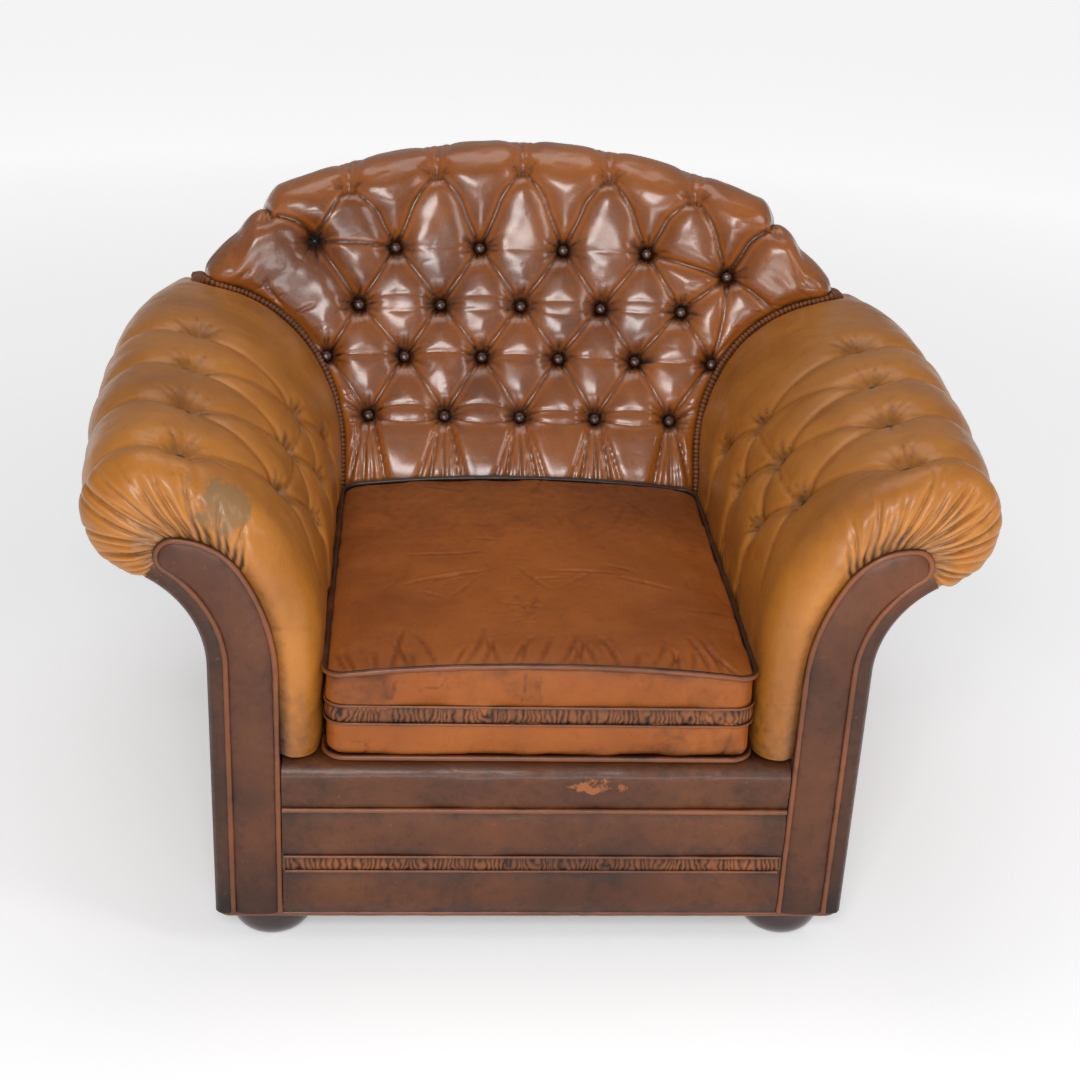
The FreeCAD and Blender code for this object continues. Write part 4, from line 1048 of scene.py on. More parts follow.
def build_seam_ruche(side, seam, label):
    """The gathered strip sewn in between the arm and the back."""
    path = resample(seam[:-4] * (side, 1, 1), 520)
    for _ in range(14):
        path[1:-1] = 0.25 * path[:-2] + 0.5 * path[1:-1] + 0.25 * path[2:]
    along = lengths_along(path)
    towards = np.array([-side * 0.75, -0.60, 0.30]) + 0 * path
    rib = np.abs(np.sin(math.pi * along / RUCHE_PITCH + 1.1 * noise(along, 0 * along, 0.02, 8)))
    high, wide = 0.0075 + 0.0030 * rib, 0.0042 + 0.0012 * rib
    points, faces = tube(path - towards * 0.001, towards, high, wide, RUCHE_SIDES)
    # Painted shade between the gathered ribs, lighter on their crests.
    fold = np.repeat(0.85 - 0.70 * rib, RUCHE_SIDES)
    add_piece("arm_seam_ruche_gathers_" + label, points, faces, "ruche",
              stands_for=["arm_seam_ruche_" + label], fold=fold)


# ---- the back's leather -----------------------------------------------------------------


def build_back():
    """Tufts, pleats and wings of the inside back."""
    random = np.random.default_rng(BACK_SEED)
    folds = Folds(BACK)
    style = {"valley": 0.0115, "reach": 0.040, "crease": 0.0036, "middle": 0.55}
    for lower, upper in ((ROW_D, ROW_C), (ROW_C, ROW_B), (ROW_B, ROW_A)):
        lace(folds, lower, upper, **style)
    inner_row = {place: tuft for place, tuft in ROW_A.items() if abs(place) < 2}
    lace(folds, inner_row, PINCHES, valley=0.0110, reach=0.036, crease=0.0034, middle=0.75)
    back_vertical_folds(folds, random)
    back_cross_folds(folds, random)
    pinch_folds(folds, random)
    for side in (-1, 1):
        wing_folds(folds, side)
        seam_gathers(folds, side, random)
        folds.pleat(seam_path(side), valley=0.015, reach=0.030, crease=0.003, width=0.004,
                    middle=1.0, dye=0.9)
    for index, row in enumerate((ROW_D, ROW_C, ROW_B, ROW_A)):
        for place, (x, v) in row.items():
            folds.tuft((x, v), depth=0.0135, radius=0.0155, seed=int(10 * place) + 70 * index + 5)
    x, v = [grid.ravel() for grid in np.meshgrid(BACK.u, BACK.v, indexing="ij")]
    detail, fine = skin_detail(x, 0.5 * v, 40, 0.9)
    height = (folds.height(BACK_CROWN) + detail) * smoothstep(0, 0.05, v + 0.02)
    rear = smoothstep(1.75, 2.0, v)
    height = height * (1 - rear) - 0.004 * rear
    points = BACK.raised(height)
    # Painted shade darkens the wings and the fine wrinkles; a painted highlight lightens the top
    # roll's crest.
    wing = smoothstep(0.30, 0.46, np.abs(x))
    fold = np.clip(folds.fold + 0.10 * fine, 0, 1) + 0.24 * wing
    crest = smoothstep(1.0, 1.25, v) * (1 - wing)
    rub = folds.rub + 0.35 * crest
    faces = grid_faces(len(BACK.u), len(BACK.v))
    add_piece("back_leather", points, faces, "leather_back", fill=0.85,
              stands_for=["inside_back_pad"], fold=fold, rub=rub)


# ---- buttons ----------------------------------------------------------------------------

BACK_BUTTON = (0.0076, 0.0052)  # radius and rise
ARM_BUTTON = (0.0062, 0.0034)
BUTTON_SIDES = 24


def button_points(centre, outward, radius, rise):
    """A covered button: a low dome with a soft rim."""
    rings = np.linspace(0, 1, 9)
    reach = radius * np.sin(0.5 * math.pi * rings ** 0.9)
    level = rise * np.cos(0.5 * math.pi * rings ** 1.2)
    reach, level = np.append(reach, 0.86 * radius), np.append(level, -0.5 * rise)
    side = np.cross(outward, (0.0, 0.0, 1.0))
    side /= np.linalg.norm(side)
    other = np.cross(outward, side)
    angle = np.linspace(0, 2 * math.pi, BUTTON_SIDES, endpoint=False)[None, :, None]
    around = np.cos(angle) * side + np.sin(angle) * other
    return centre + level[:, None, None] * outward + reach[:, None, None] * around


def build_buttons(name, stands_for, seats, radius, rise):
    """All the buttons of one panel as one piece."""
    points, faces, start = [], [], 0
    for centre, outward in seats:
        ring = button_points(centre, outward, radius, rise)
        points.append(ring.reshape(-1, 3))
        faces.append(grid_faces(ring.shape[0], ring.shape[1], around=True) + start)
        start += ring.shape[0] * ring.shape[1]
    add_piece(name, np.concatenate(points), np.concatenate(faces), "button", stands_for=stands_for)


def seat_of(sheet, place, sink, side=1):
    """Where a button sits on a sheet and which way it faces."""
    i = np.argmin(np.abs(sheet.u - place[0]))
    j = np.argmin(np.abs(sheet.v - place[1]))
    outward = sheet.normals[i, j]
    centre = sheet.point(place) + outward * sink
    flip = np.array([side, 1, 1])
    return centre * flip, outward * flip


def build_all_buttons():
    """Buttons of the back and of both arms."""
    seats = [seat_of(BACK, place, -0.0185) for row in (ROW_A, ROW_B, ROW_C, ROW_D)
             for place in row.values() if place != ROW_E[-2.5]]
    build_buttons("back_button_caps", ["back_buttons"], seats, *BACK_BUTTON)
    seats = []
    for side in (-1, 1):
        for row, sink in zip(arm_rows(), (-0.0185, -0.0170, -0.0160)):
            seats += [seat_of(ARM, place, sink, side) for place in row.values()
                      if place[0] < BACK_LOW.y + 0.02]
    build_buttons("arm_button_caps", ["arm_buttons"], seats, *ARM_BUTTON)


# ---- gathered bands and cords -----------------------------------------------------------


def ruched_band(name, path, outward, low, high, depth, body, stands_for, seed):
    """A strip gathered into small upright folds between two sewn edges."""
    along = lengths_along(path)
    rows = np.linspace(0, 1, 11)
    s, t = np.meshgrid(along, rows, indexing="ij")
    phase = s / BAND_PITCH + 1.3 * noise(s, t * 0.01, 0.017, seed) + 0.35 * noise(
        s, t * 0.02, 0.006, seed + 1)
    fold = np.abs(np.sin(math.pi * phase)) ** 0.75
    belly = np.sin(math.pi * t) ** 0.6
    uneven = 0.65 + 0.35 * noise(s, 0 * t, 0.012, seed + 2)
    lift = depth * belly * (0.30 + 0.70 * fold * uneven)
    z = low + (high - low) * (t + 0.02 * noise(s, t, 0.01, seed + 3))
    points = path[:, None, :] + outward[:, None, :] * lift[..., None]
    points[..., 2] = z
    shade = 0.95 - 0.8 * fold * belly
    add_piece(name, points, grid_faces(len(path), len(rows)), "ruche", body=body,
              stands_for=stands_for, fold=shade)


def add_cord(name, path, outward, radius, body, closed=False, stands_for=(), seed=0):
    """A piped edge: leather round a cord, a little uneven along its length."""
    along = lengths_along(path)
    size = radius * (1 + 0.06 * noise(along, 0 * along, 0.012, seed))
    points, faces = tube(path, outward, size, size, CORD_SIDES, closed)
    # Painted shade on the cord's sides and a lighter painted crest where it faces out; the patchy
    # term is uneven tone.
    turn = np.cos(np.linspace(0, 2 * math.pi, CORD_SIDES, endpoint=False))
    patchy = 0.30 * noise(along, 0 * along, 0.03, seed + 4)
    shade = 0.95 - 1.0 * np.clip(turn, 0, 1)[None, :] ** 1.2 + patchy[:, None]
    add_piece(name, points, faces, "piping", body=body, stands_for=stands_for, fold=shade)


# ---- seat cushion -----------------------------------------------------------------------

CUSHION_VOXEL = 0.006
CUSHION_ROUND = 0.024
BAND_POINTS, EDGE_POINTS = 1300, 420
CUSHION_SIDES = 240
CUSHION_LAYERS = 12
CAP_RINGS = 16
SEAM_HOLD = 0.0042
TOP_SEAM = CORD_HIGH.z - 0.004
BOTTOM_SEAM = CORD_LOW.z + 0.004
FILL_STEPS = 20
FILL_REACH = 0.030
FILL_RISE = 0.026


def front_bow(x):
    """How much the cushion's top edge drops from its middle towards the corners."""
    return -0.016 * (np.abs(x) / CUSHION_HIGH.x) ** 2.2


def rounded_plan(low, high, bend, steps, count):
    """A rectangle with rounded corners seen from above, as an evenly spaced closed ring."""
    left, right, front, rear = low[0] + bend, high[0] - bend, low[1] + bend, high[1] - bend
    corners = (((right, front), -90), ((right, rear), 0), ((left, rear), 90), ((left, front), 180))
    ring = np.concatenate([on_circle(centre, bend, np.linspace(start, start + 90, steps))
                           for centre, start in corners])
    return resample(np.concatenate([ring, ring[:1]]), count + 1)[:-1]


def cushion_plan(count):
    """The cushion's outline from above."""
    half = CUSHION_HIGH.x
    return rounded_plan((-half, CUSHION_LOW.y), (half, CUSHION_HIGH.y), CUSHION_ROUND, 10, count)


def plan_outward(ring):
    """Outward directions of a closed ring seen from above."""
    tangent = np.roll(ring, -1, axis=0) - np.roll(ring, 1, axis=0)
    outward = np.stack([tangent[:, 1], -tangent[:, 0], 0 * tangent[:, 0]], 1)
    return outward / np.linalg.norm(outward, axis=1, keepdims=True)


def cushion_block():
    """The cushion before it is filled: a closed form with slightly bowed top edges."""
    ring = cushion_plan(CUSHION_SIDES)
    walls = []
    for t in np.linspace(0, 1, CUSHION_LAYERS):
        rise = BOTTOM_SEAM + (TOP_SEAM - BOTTOM_SEAM) * t
        walls.append(np.column_stack([ring, rise + t * front_bow(ring[:, 0])]))
    middle = ring.mean(0)
    caps = []
    for t, rise in ((0, BOTTOM_SEAM), (1, TOP_SEAM)):
        cap = []
        for k in range(1, CAP_RINGS):
            inner = middle + (ring - middle) * (1 - k / CAP_RINGS)
            cap.append(np.column_stack([inner, rise + t * front_bow(inner[:, 0])]))
        caps.append(cap)
    stack = np.array(caps[0][::-1] + walls + caps[1])
    faces = grid_faces(len(stack), CUSHION_SIDES, around=True).tolist()
    faces.append(list(range(CUSHION_SIDES))[::-1])
    faces.append([(len(stack) - 1) * CUSHION_SIDES + k for k in range(CUSHION_SIDES)])
    mesh = bpy.data.meshes.new("cushion_leather")
    mesh.from_pydata(stack.reshape(-1, 3).tolist(), [], faces)
    return add_object("cushion_leather", mesh)


def apply_modifier(item, kind, **settings):
    """Adds one modifier, evaluates it and keeps the result as the item's mesh."""
    modifier = item.modifiers.new(kind.lower(), kind)
    for key, value in settings.items():
        setattr(modifier, key, value)
    made = modified_mesh(item)
    item.modifiers.clear()
    item.data = made


def modified_mesh(item):
    """The mesh that an item's modifiers make of it now."""
    graph = bpy.context.evaluated_depsgraph_get()
    return bpy.data.meshes.new_from_object(item.evaluated_get(graph))


def edge_heights(points):
    """Height of the top seam and of the bottom seam at each point's place."""
    return TOP_SEAM + front_bow(points[:, 0]), np.full(len(points), BOTTOM_SEAM)


def plan_gap(points):
    """How far inside the cushion's outline each point lies."""
    ring = np.column_stack([cushion_plan(120), np.zeros(120)])
    flat = points * (1, 1, 0)
    return nearest(np.concatenate([ring, ring[:1]]), flat)[0]


def fill_cushion(block):
    """Blows the cushion up between its sewn edges with a cloth simulation."""
    start = read_points(block.data)
    seams = (*edge_heights(start), BAND_LOW.z, BAND_HIGH.z)
    seam_gap = np.min([np.abs(start[:, 2] - seam) for seam in seams], axis=0)
    held = (plan_gap(start) < SEAM_HOLD) & (seam_gap < SEAM_HOLD)
    group = block.vertex_groups.new(name="sewn")
    group.add(np.nonzero(held)[0].tolist(), 1.0, "REPLACE")
    cloth = block.modifiers.new("fill", "CLOTH")
    cloth.settings.vertex_group_mass = "sewn"
    cloth.settings.use_pressure = True
    cloth.settings.uniform_pressure_force = 4.0
    cloth.settings.effector_weights.gravity = 0.0
    cloth.settings.quality = 6
    cloth.settings.tension_stiffness = 8.0
    cloth.settings.compression_stiffness = 8.0
    cloth.settings.bending_stiffness = 1.2
    cloth.point_cache.frame_start, cloth.point_cache.frame_end = 1, FILL_STEPS
    for step in range(1, FILL_STEPS + 1):
        bpy.context.scene.frame_set(step)
    moved = read_points(modified_mesh(block)) - start
    block.modifiers.clear()
    block.vertex_groups.clear()
    reach = np.linalg.norm(moved, axis=1, keepdims=True)
    limit = np.where(start[:, 2:3] < DECK + 0.02, 0.0, FILL_REACH)
    moved *= np.minimum(1, limit / np.maximum(reach, 1e-9))
    moved[:, 2] = np.minimum(moved[:, 2], FILL_RISE)
    move_points(block, start + moved)
    bpy.context.scene.frame_set(1)


def seat_creases():
    """Lines of the sharper creases on the seat, seen from above, with their strength."""
    random = np.random.default_rng(CREASE_SEED)
    front = CUSHION_LOW.y + 0.006
    lines = []
    for x in np.linspace(-0.235, 0.235, 27):
        start = np.array([x + random.uniform(-0.007, 0.007), front])
        lean = random.choice([-1, 1]) * random.uniform(0.1, 0.6)
        reach = random.uniform(0.025, 0.085)
        lines.append((start, start + (lean * reach, reach), 0.9))
    for turn in np.linspace(195, 350, 10):
        angle = math.radians(turn + random.uniform(-9, 9))
        ray = np.array([math.cos(angle), 0.7 * math.sin(angle)])
        middle = np.array([random.uniform(-0.05, 0.04), random.uniform(-0.22, -0.13)])
        near = random.uniform(0.05, 0.12)
        lines.append((middle + near * ray, middle + (near + random.uniform(0.05, 0.12)) * ray,
                      random.uniform(0.35, 0.75)))
    for _ in range(16):
        start = np.array([random.uniform(-0.21, 0.21), random.uniform(-0.30, 0.17)])
        angle = random.uniform(0, 2 * math.pi)
        step = random.uniform(0.03, 0.09) * np.array([math.cos(angle), math.sin(angle)])
        lines.append((start, start + step, 0.45))
    paths = []
    for start, end, strength in lines:
        t = np.linspace(0, 1, 9)[:, None]
        across = np.array([-(end - start)[1], (end - start)[0]])
        bow = random.uniform(-0.22, 0.22)
        paths.append((start + (end - start) * t + bow * across * t * (1 - t), strength))
    return paths


def press_creases(points):
    """Depth of the seat's sharper creases at every point, and the painted shade in them."""
    plan = np.column_stack([points[:, :2], 0 * points[:, 0]])
    depth, dye = np.zeros(len(points)), np.zeros(len(points))
    for path, strength in seat_creases():
        path = np.column_stack([path, 0 * path[:, 0]])
        low, high = path.min(0) - 0.01, path.max(0) + 0.01
        mask = np.all((plan > low) & (plan < high), axis=1)
        gap, t = nearest(path, plan[mask])
        size = strength * np.sin(math.pi * np.clip(0.06 + 0.88 * t, 0, 1)) ** 0.7
        groove = size * (np.exp(-((gap / 0.0024) ** 1.4)) - 0.35 * np.exp(
            -(((gap - 0.0062) / 0.0028) ** 2)))
        depth[mask] += groove
        dye[mask] = np.maximum(dye[mask], size * np.exp(-((gap / 0.0026) ** 1.3)))
    return depth, dye


def cushion_wrinkles(points, normals):
    """Small creases of a seat that has been sat on, and how dark each place is, mostly painted
    shade.
    """
    x, y, z = points.T
    upward = np.clip(normals[:, 2], 0, 1) ** 2
    frontal = np.clip(-normals[:, 1], 0, 1) ** 2
    turn = np.arctan2(y + 0.12, x - 0.01)
    radius = np.hypot(x - 0.01, y + 0.12)
    star = wrinkles(turn * 0.16, radius * 0.35, 0.030, 0.0012, 71)
    mesh_lines = wrinkles(x, y, 0.050, 0.0016, 72) + 0.8 * wrinkles(x, y, 0.027, 0.0011, 73)
    near_front = 1 - smoothstep(CUSHION_LOW.y, CUSHION_LOW.y + 0.16, y)
    combed = wrinkles(x, 0.22 * y, 0.024, 0.0013, 74) * near_front
    top = 0.2 * star * smoothstep(0.04, 0.16, radius) + 0.8 * mesh_lines + 1.1 * combed
    swell = 0.0020 * noise(x, y, 0.085, 75) + 0.0012 * noise(x, y, 0.04, 76)
    side = wrinkles(x + y, 0.8 * z, 0.030, 0.0013, 77)
    depth, dye = press_creases(points)
    height = upward * (swell - 0.0011 * top - 0.0028 * depth) - (1 - upward) * 0.0013 * side
    height += (1 - upward) * 0.0020 * noise(x + y, z, 0.03, 78)
    # Painted shade in the wrinkles and creases, along the piped seams and towards the rear of the
    # top under the back; the front also gets darker towards its two ends and in a mottled strip
    # above the band on its left half, and the top a touch darker all over.
    shade = upward * (0.18 * np.clip(top, 0, 1) + 0.42 * dye) + (1 - upward) * 0.35 * side
    edge_top, edge_bottom = edge_heights(points)
    rim = np.exp(-((np.abs(z - edge_top) / 0.010) ** 2)) * (1 - upward)
    rim += np.exp(-((np.abs(z - edge_bottom) / 0.012) ** 2)) * (1 - upward)
    mottled = 0.5 + 0.5 * noise(x, z, 0.035, 79)
    darker_to_ends = frontal * smoothstep(0.02, 0.24, np.abs(x + 0.05)) * mottled
    strip = smoothstep(BAND_HIGH.z - 0.004, BAND_HIGH.z + 0.01, z) * (z < edge_top)
    shade += 0.50 * rim * mottled + 0.40 * darker_to_ends + 0.45 * frontal * strip * (x < 0) * mottled
    rear = smoothstep(CUSHION_LOW.y + 0.25, CUSHION_HIGH.y, y) * upward
    return height, np.clip(shade + 0.30 * rear + 0.10 * upward, 0, 1)


def build_cushion():
    """The loose seat cushion with its pipings and gathered band."""
    block = cushion_block()
    apply_modifier(block, "REMESH", mode="VOXEL", voxel_size=CUSHION_VOXEL)
    fill_cushion(block)
    apply_modifier(block, "SUBSURF", levels=1, render_levels=1)
    points, normals = read_points(block.data), read_points(block.data, "normal")
    height, shade = cushion_wrinkles(points, normals)
    move_points(block, points + normals * height[:, None])
    block.data.attributes.new("fold", "FLOAT", "POINT").data.foreach_set(
        "value", shade.astype(np.float32))
    block.data.shade_smooth()
    block.data.materials.append(SEAT_TAN)
    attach(block, "seat_cushion")
    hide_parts("cushion_core", "cushion_top_panel", "cushion_bottom_panel",
                "cushion_border")
    cushion_trim()


def cushion_trim():
    """Cords along the cushion's sewn edges and the gathered band round its front and sides."""
    ring = cushion_plan(520)
    outward = plan_outward(ring)
    top, bottom = edge_heights(ring)
    for label, z, seed, stands_for in (("top", top, 1, ["cushion_piping"]),
                                       ("bottom", bottom, 2, [])):
        path = np.column_stack([ring, z]) + outward * 0.0016
        add_cord("cushion_cord_" + label, path, outward, 0.0037, "seat_cushion", closed=True,
                 stands_for=stands_for, seed=seed)
    start = np.argmax(np.where(np.abs(ring[:, 0]) < 0.01, ring[:, 1], -9))
    open_ring = np.roll(np.column_stack([ring, 0 * ring[:, 0]]), -start, axis=0)
    banded = open_ring[:, 1] < CUSHION_HIGH.y - CUSHION_ROUND
    path = resample(open_ring[banded], BAND_POINTS)
    towards = resample(np.roll(outward, -start, axis=0)[banded], BAND_POINTS)
    ruched_band("cushion_band_gathers", path, towards, BAND_LOW.z, BAND_HIGH.z, 0.0042,
                "seat_cushion", ["cushion_ruche_band"], 90)
    for label, z, seed in (("low", BAND_LOW.z, 3), ("high", BAND_HIGH.z, 4)):
        edge, outward = resample(path, EDGE_POINTS), resample(towards, EDGE_POINTS)
        edge[:, 2] = z
        add_cord("cushion_band_edge_" + label, edge + outward * 0.0020, outward, 0.0020,
                 "seat_cushion", seed=seed)


# ---- facings, panels and trim -----------------------------------------------------------

WELT = MID_CORD_HIGH.z - MID_CORD_LOW.z
BASE_BEND = 0.014
FACING_ROWS, FACING_COLUMNS = 230, 21


def curve_up(points, low):
    """A curve of the scroll from its foot up."""
    return np.concatenate([[(points[0][0], low)], points])


def outer_curve(strip, low, sweep, count):
    """The arm's outer curve from its foot up, moved outward by strip."""
    arc = on_circle(OUTER_CENTRE, OUTER_RADIUS - strip, np.linspace(180, 180 - sweep, 60))
    return resample(curve_up(arc, low), count)


def facing_curves(low, count):
    """The facing's inner curve and its outer curve, from the bottom up to the tip."""
    inner = resample(curve_up(scroll_edge()[1:], low), count)
    return inner, outer_curve(0.0, low, TIP_SWEEP, count)


def build_facing(side, label):
    """The arm's front: leather drawn over a shaped board, gently crowned."""
    inner, outer = facing_curves(FACING_LOW.z, FACING_ROWS)
    across = np.linspace(0, 1, FACING_COLUMNS)[None, :, None]
    flat = inner[:, None] * (1 - across) + outer[:, None] * across
    t = across[..., 0]
    bulge = 0.0045 * (1 - np.abs(2 * t - 1) ** 2.6) * np.ones((FACING_ROWS, 1))
    bulge += 0.0007 * noise(flat[..., 0], flat[..., 1], 0.03, 31 + side)
    bulge -= 0.0005 * wrinkles(flat[..., 0], flat[..., 1], 0.026, 0.0011, 33 + side)
    points = np.insert(flat, 1, FRONT - 0.0002 - bulge, axis=2) * (side, 1, 1)
    # Painted shade: darker near both piped edges and at the foot, lighter towards the top of the
    # scroll; the noise is uneven tone.
    rim = np.abs(2 * t - 1) ** 3
    height = smoothstep(0.52, FACING_HIGH.z, flat[..., 1])
    shade = 0.10 + 0.40 * rim + 0.20 * noise(flat[..., 0], flat[..., 1], 0.07, 35) - 0.2 * height
    foot = 1 - smoothstep(FACING_LOW.z, FACING_LOW.z + 0.10, flat[..., 1])
    faces = grid_faces(FACING_ROWS, FACING_COLUMNS)
    if side < 0:
        faces = faces[:, ::-1]
    add_piece("facing_leather_" + label, points, faces, "leather_dark",
              stands_for=["arm_facing_" + label], fold=shade + 0.3 * foot)


def ahead_of(path):
    """The direction to the chair's front for each point of a path."""
    return np.tile((0.0, -1.0, 0.0), (len(path), 1))


def build_welts():
    """The piped edges of the facings, of the front border and of the base."""
    half = 0.5 * WELT
    for side, label in ((-1, "left"), (1, "right")):
        inner, outer = facing_curves(FACING_LOW.z + 0.001, 330)
        flat = np.concatenate([inner, outer[::-1][1:]])
        path = np.insert(resample(flat, 620), 1, FRONT - 0.001, axis=1) * (side, 1, 1)
        add_cord("facing_welt_" + label, path, ahead_of(path), half, "chair",
                 stands_for=["facing_piping_" + label], seed=20 + side)
    x = np.linspace(RAIL_LOW.x, RAIL_HIGH.x, 300)[:, None]
    middle = 0.5 * (MID_CORD_LOW.z + MID_CORD_HIGH.z)
    path = x * (1, 0, 0) + (0, FRONT - 0.001, middle)
    add_cord("front_border_welt", path, ahead_of(path) + (0.0, 0.0, 0.2), half, "chair",
             stands_for=["front_border_piping"], seed=24)
    low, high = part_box("base_piping")
    ring = rounded_plan((low.x + half, low.y + half), (high.x - half, high.y - half), BASE_BEND, 8,
                        900)
    path = np.column_stack([ring, np.full(len(ring), 0.5 * (low.z + high.z))])
    add_cord("base_welt", path, plan_outward(ring), half, "chair", closed=True,
             stands_for=["base_piping"], seed=26)


def build_outside_arm(side, label):
    """Leather stretched down the outside of the arm and round its front edge."""
    rows = 110
    low = OUTER_LOW.z
    strip_in = outer_curve(0.0, low, TIP_SWEEP + TIP_TUCK, rows)
    strip_out = outer_curve(STRIP, low, TIP_SWEEP + TIP_TUCK, rows)
    columns = []
    for t in np.linspace(0, 1, 10):
        flat = strip_in * (1 - t) + strip_out * t
        bulge = 0.003 * math.sin(math.pi * min(1, t * 0.9 + 0.1))
        columns.append(np.insert(flat, 1, FRONT - bulge + 0.004 * max(0, t - 0.8) / 0.2, axis=1))
    rear_y = rear_plane(strip_out[:, 1]) + 0.006
    for t in np.linspace(0, 1, 170)[1:]:
        y = FRONT + 0.006 + (rear_y - FRONT - 0.006) * t
        columns.append(np.stack([strip_out[:, 0], y, strip_out[:, 1]], 1))
    points = np.array(columns)
    sheet_y, sheet_z = points[..., 1], points[..., 2]
    swell = 0.0016 * noise(sheet_y, sheet_z, 0.12, 51 + side) - 0.0012 * wrinkles(
        sheet_y * 0.5, sheet_z, 0.07, 0.0022, 53 + side)
    body = smoothstep(FRONT + 0.01, FRONT + 0.05, sheet_y)
    swell = swell * (1 - smoothstep(rear_y - 0.06, rear_y, sheet_y))
    tack = np.abs(np.sin(math.pi * sheet_y / 0.055)) * (1 - smoothstep(low, low + 0.05, sheet_z))
    points[..., 0] += body * (swell + 0.0010 * tack + 0.0015)
    points = points * (side, 1, 1)
    # Painted shade: darker where the leather turns round the front edge and near the base; the
    # noise is uneven tone.
    shade = 0.15 + 0.35 * (1 - body) + 0.3 * (1 - smoothstep(low, low + 0.06, sheet_z))
    shade += 0.20 * noise(sheet_y, sheet_z, 0.10, 57)
    faces = grid_faces(points.shape[0], rows)
    if side > 0:
        faces = faces[:, ::-1]
    add_piece("outside_arm_leather_" + label, points, faces, "leather_dark",
              stands_for=["outside_arm_panel_" + label], fold=shade)


def rear_roll():
    """Centre and radius of the arm's roll where the outside back cuts it off."""
    y = rear_plane(arm_roll(ARM_REAR_Y)[1])
    x, z, radius = arm_roll(y)
    return x, z, radius + 0.003 - tail_drop(y)


def rear_half_width(z):
    """Half the outside back's width: the base, the arms' flare and the ends of the rolls."""
    rise = np.maximum(0, z - OUTER_CENTRE[1])
    flare = np.sqrt(np.maximum((OUTER_RADIUS - STRIP) ** 2 - rise ** 2, 1e-6))
    low = OUTER_CENTRE[0] - flare + 0.0015
    roll_x, roll_z, radius = rear_roll()
    roll = roll_x + np.sqrt(np.maximum(0, radius ** 2 - (z - roll_z) ** 2))
    shoulder = roll_x + 0.45 * radius
    roll = np.where(z > roll_z, np.maximum(roll, shoulder), roll)
    return np.where(z < roll_z - 0.85 * radius, low, roll)


def build_outside_back():
    """Leather stretched over the outside back, its top edge tucked under the top roll."""
    rows, columns = 170, 190
    tuck = 0.012
    edge_x, edge_y, edge_z = BACK.points[BACK.u >= 0, -1].T
    roll_x, roll_z, radius = rear_roll()
    c = np.linspace(-1, 1, columns)[None, :]
    top_x = np.abs(c) * (roll_x + 0.45 * radius)
    crest = np.maximum(np.interp(top_x, edge_x, edge_z) + tuck, roll_z + 0.89 * radius)
    t = np.linspace(0, 1, rows)[:, None]
    z = REAR_LOW.z + (crest - REAR_LOW.z) * t
    x = c * rear_half_width(z)
    forward = np.minimum(0, np.interp(top_x, edge_x, edge_y) - 0.010 - rear_plane(crest))
    start = np.maximum(crest - 0.13, roll_z + radius)
    bend = smoothstep(start, np.maximum(crest, start + 0.03), z)
    edge = np.minimum(1 - np.abs(c) ** 3, 1) * np.sin(math.pi * np.clip(t, 0.02, 0.98)) ** 0.5
    inside = smoothstep(0, 0.12, 1 - np.abs(c))
    y = rear_plane(z) + 0.006 + forward * bend + 0.004 * edge
    y = y + inside * (0.0016 * noise(x, z, 0.13, 61) - 0.0012 * wrinkles(
        x, 0.6 * z, 0.08, 0.0022, 63))
    # Painted shade towards the panel's edges, where it turns away; the noise is uneven tone.
    shade = 0.18 + 0.35 * (1 - edge) + 0.2 * noise(x, z, 0.12, 65)
    add_piece("outside_back_leather", np.stack([x, y, z], -1), grid_faces(rows, columns),
              "leather_dark", stands_for=["outside_back_panel"], fold=shade)


def border_panel(name, low, high, stands_for, seed):
    """One band of the front border, padded a little between its seams."""
    rows, columns = 200, 26
    x, t = np.meshgrid(np.linspace(RAIL_LOW.x, RAIL_HIGH.x, rows), np.linspace(0, 1, columns),
                       indexing="ij")
    z = low + (high - low) * t
    swell = 0.0050 * (1 - np.abs(2 * t - 1) ** 2.4)
    swell += 0.0008 * noise(x, z, 0.04, seed) - 0.0008 * wrinkles(0.45 * x, z, 0.022, 0.0011,
                                                                  seed + 1)
    points = np.stack([x, RAIL_LOW.y - swell, z], -1)
    # Painted shade along both seams and towards the ends beside the arms; the noise is uneven tone.
    shade = 0.10 + 0.45 * np.abs(2 * t - 1) ** 3 + 0.25 * noise(x, z, 0.06, seed + 2)
    ends = smoothstep(0.22, RAIL_HIGH.x, np.abs(x))
    add_piece(name, points, grid_faces(rows, columns)[:, ::-1], "leather_dark",
              stands_for=stands_for, fold=shade + 0.35 * ends)


def build_front():
    """The front border: two padded bands, the gathered strip between and the edge roll."""
    border_panel("border_leather_low", RAIL_LOW.z, RAIL_BAND_LOW.z, ["front_border_panel"], 101)
    border_panel("border_leather_high", RAIL_BAND_HIGH.z, MID_CORD_LOW.z + 0.002, [], 105)
    x = np.linspace(RAIL_BAND_LOW.x, RAIL_BAND_HIGH.x, 640)[:, None]
    path = x * (1, 0, 0) + (0, RAIL_LOW.y, 0)
    towards = ahead_of(path)
    ruched_band("front_band_gathers", path, towards, RAIL_BAND_LOW.z, RAIL_BAND_HIGH.z, 0.0040,
                "chair", ["front_ruche_band"], 110)
    for label, z, seed in (("low", RAIL_BAND_LOW.z, 5), ("high", RAIL_BAND_HIGH.z, 6)):
        edge = path[::2].copy()
        edge[:, 1] -= 0.0012
        edge[:, 2] = z
        add_cord("front_band_edge_" + label, edge, towards[::2], 0.0021, "chair", seed=seed)
    build_edge_roll()


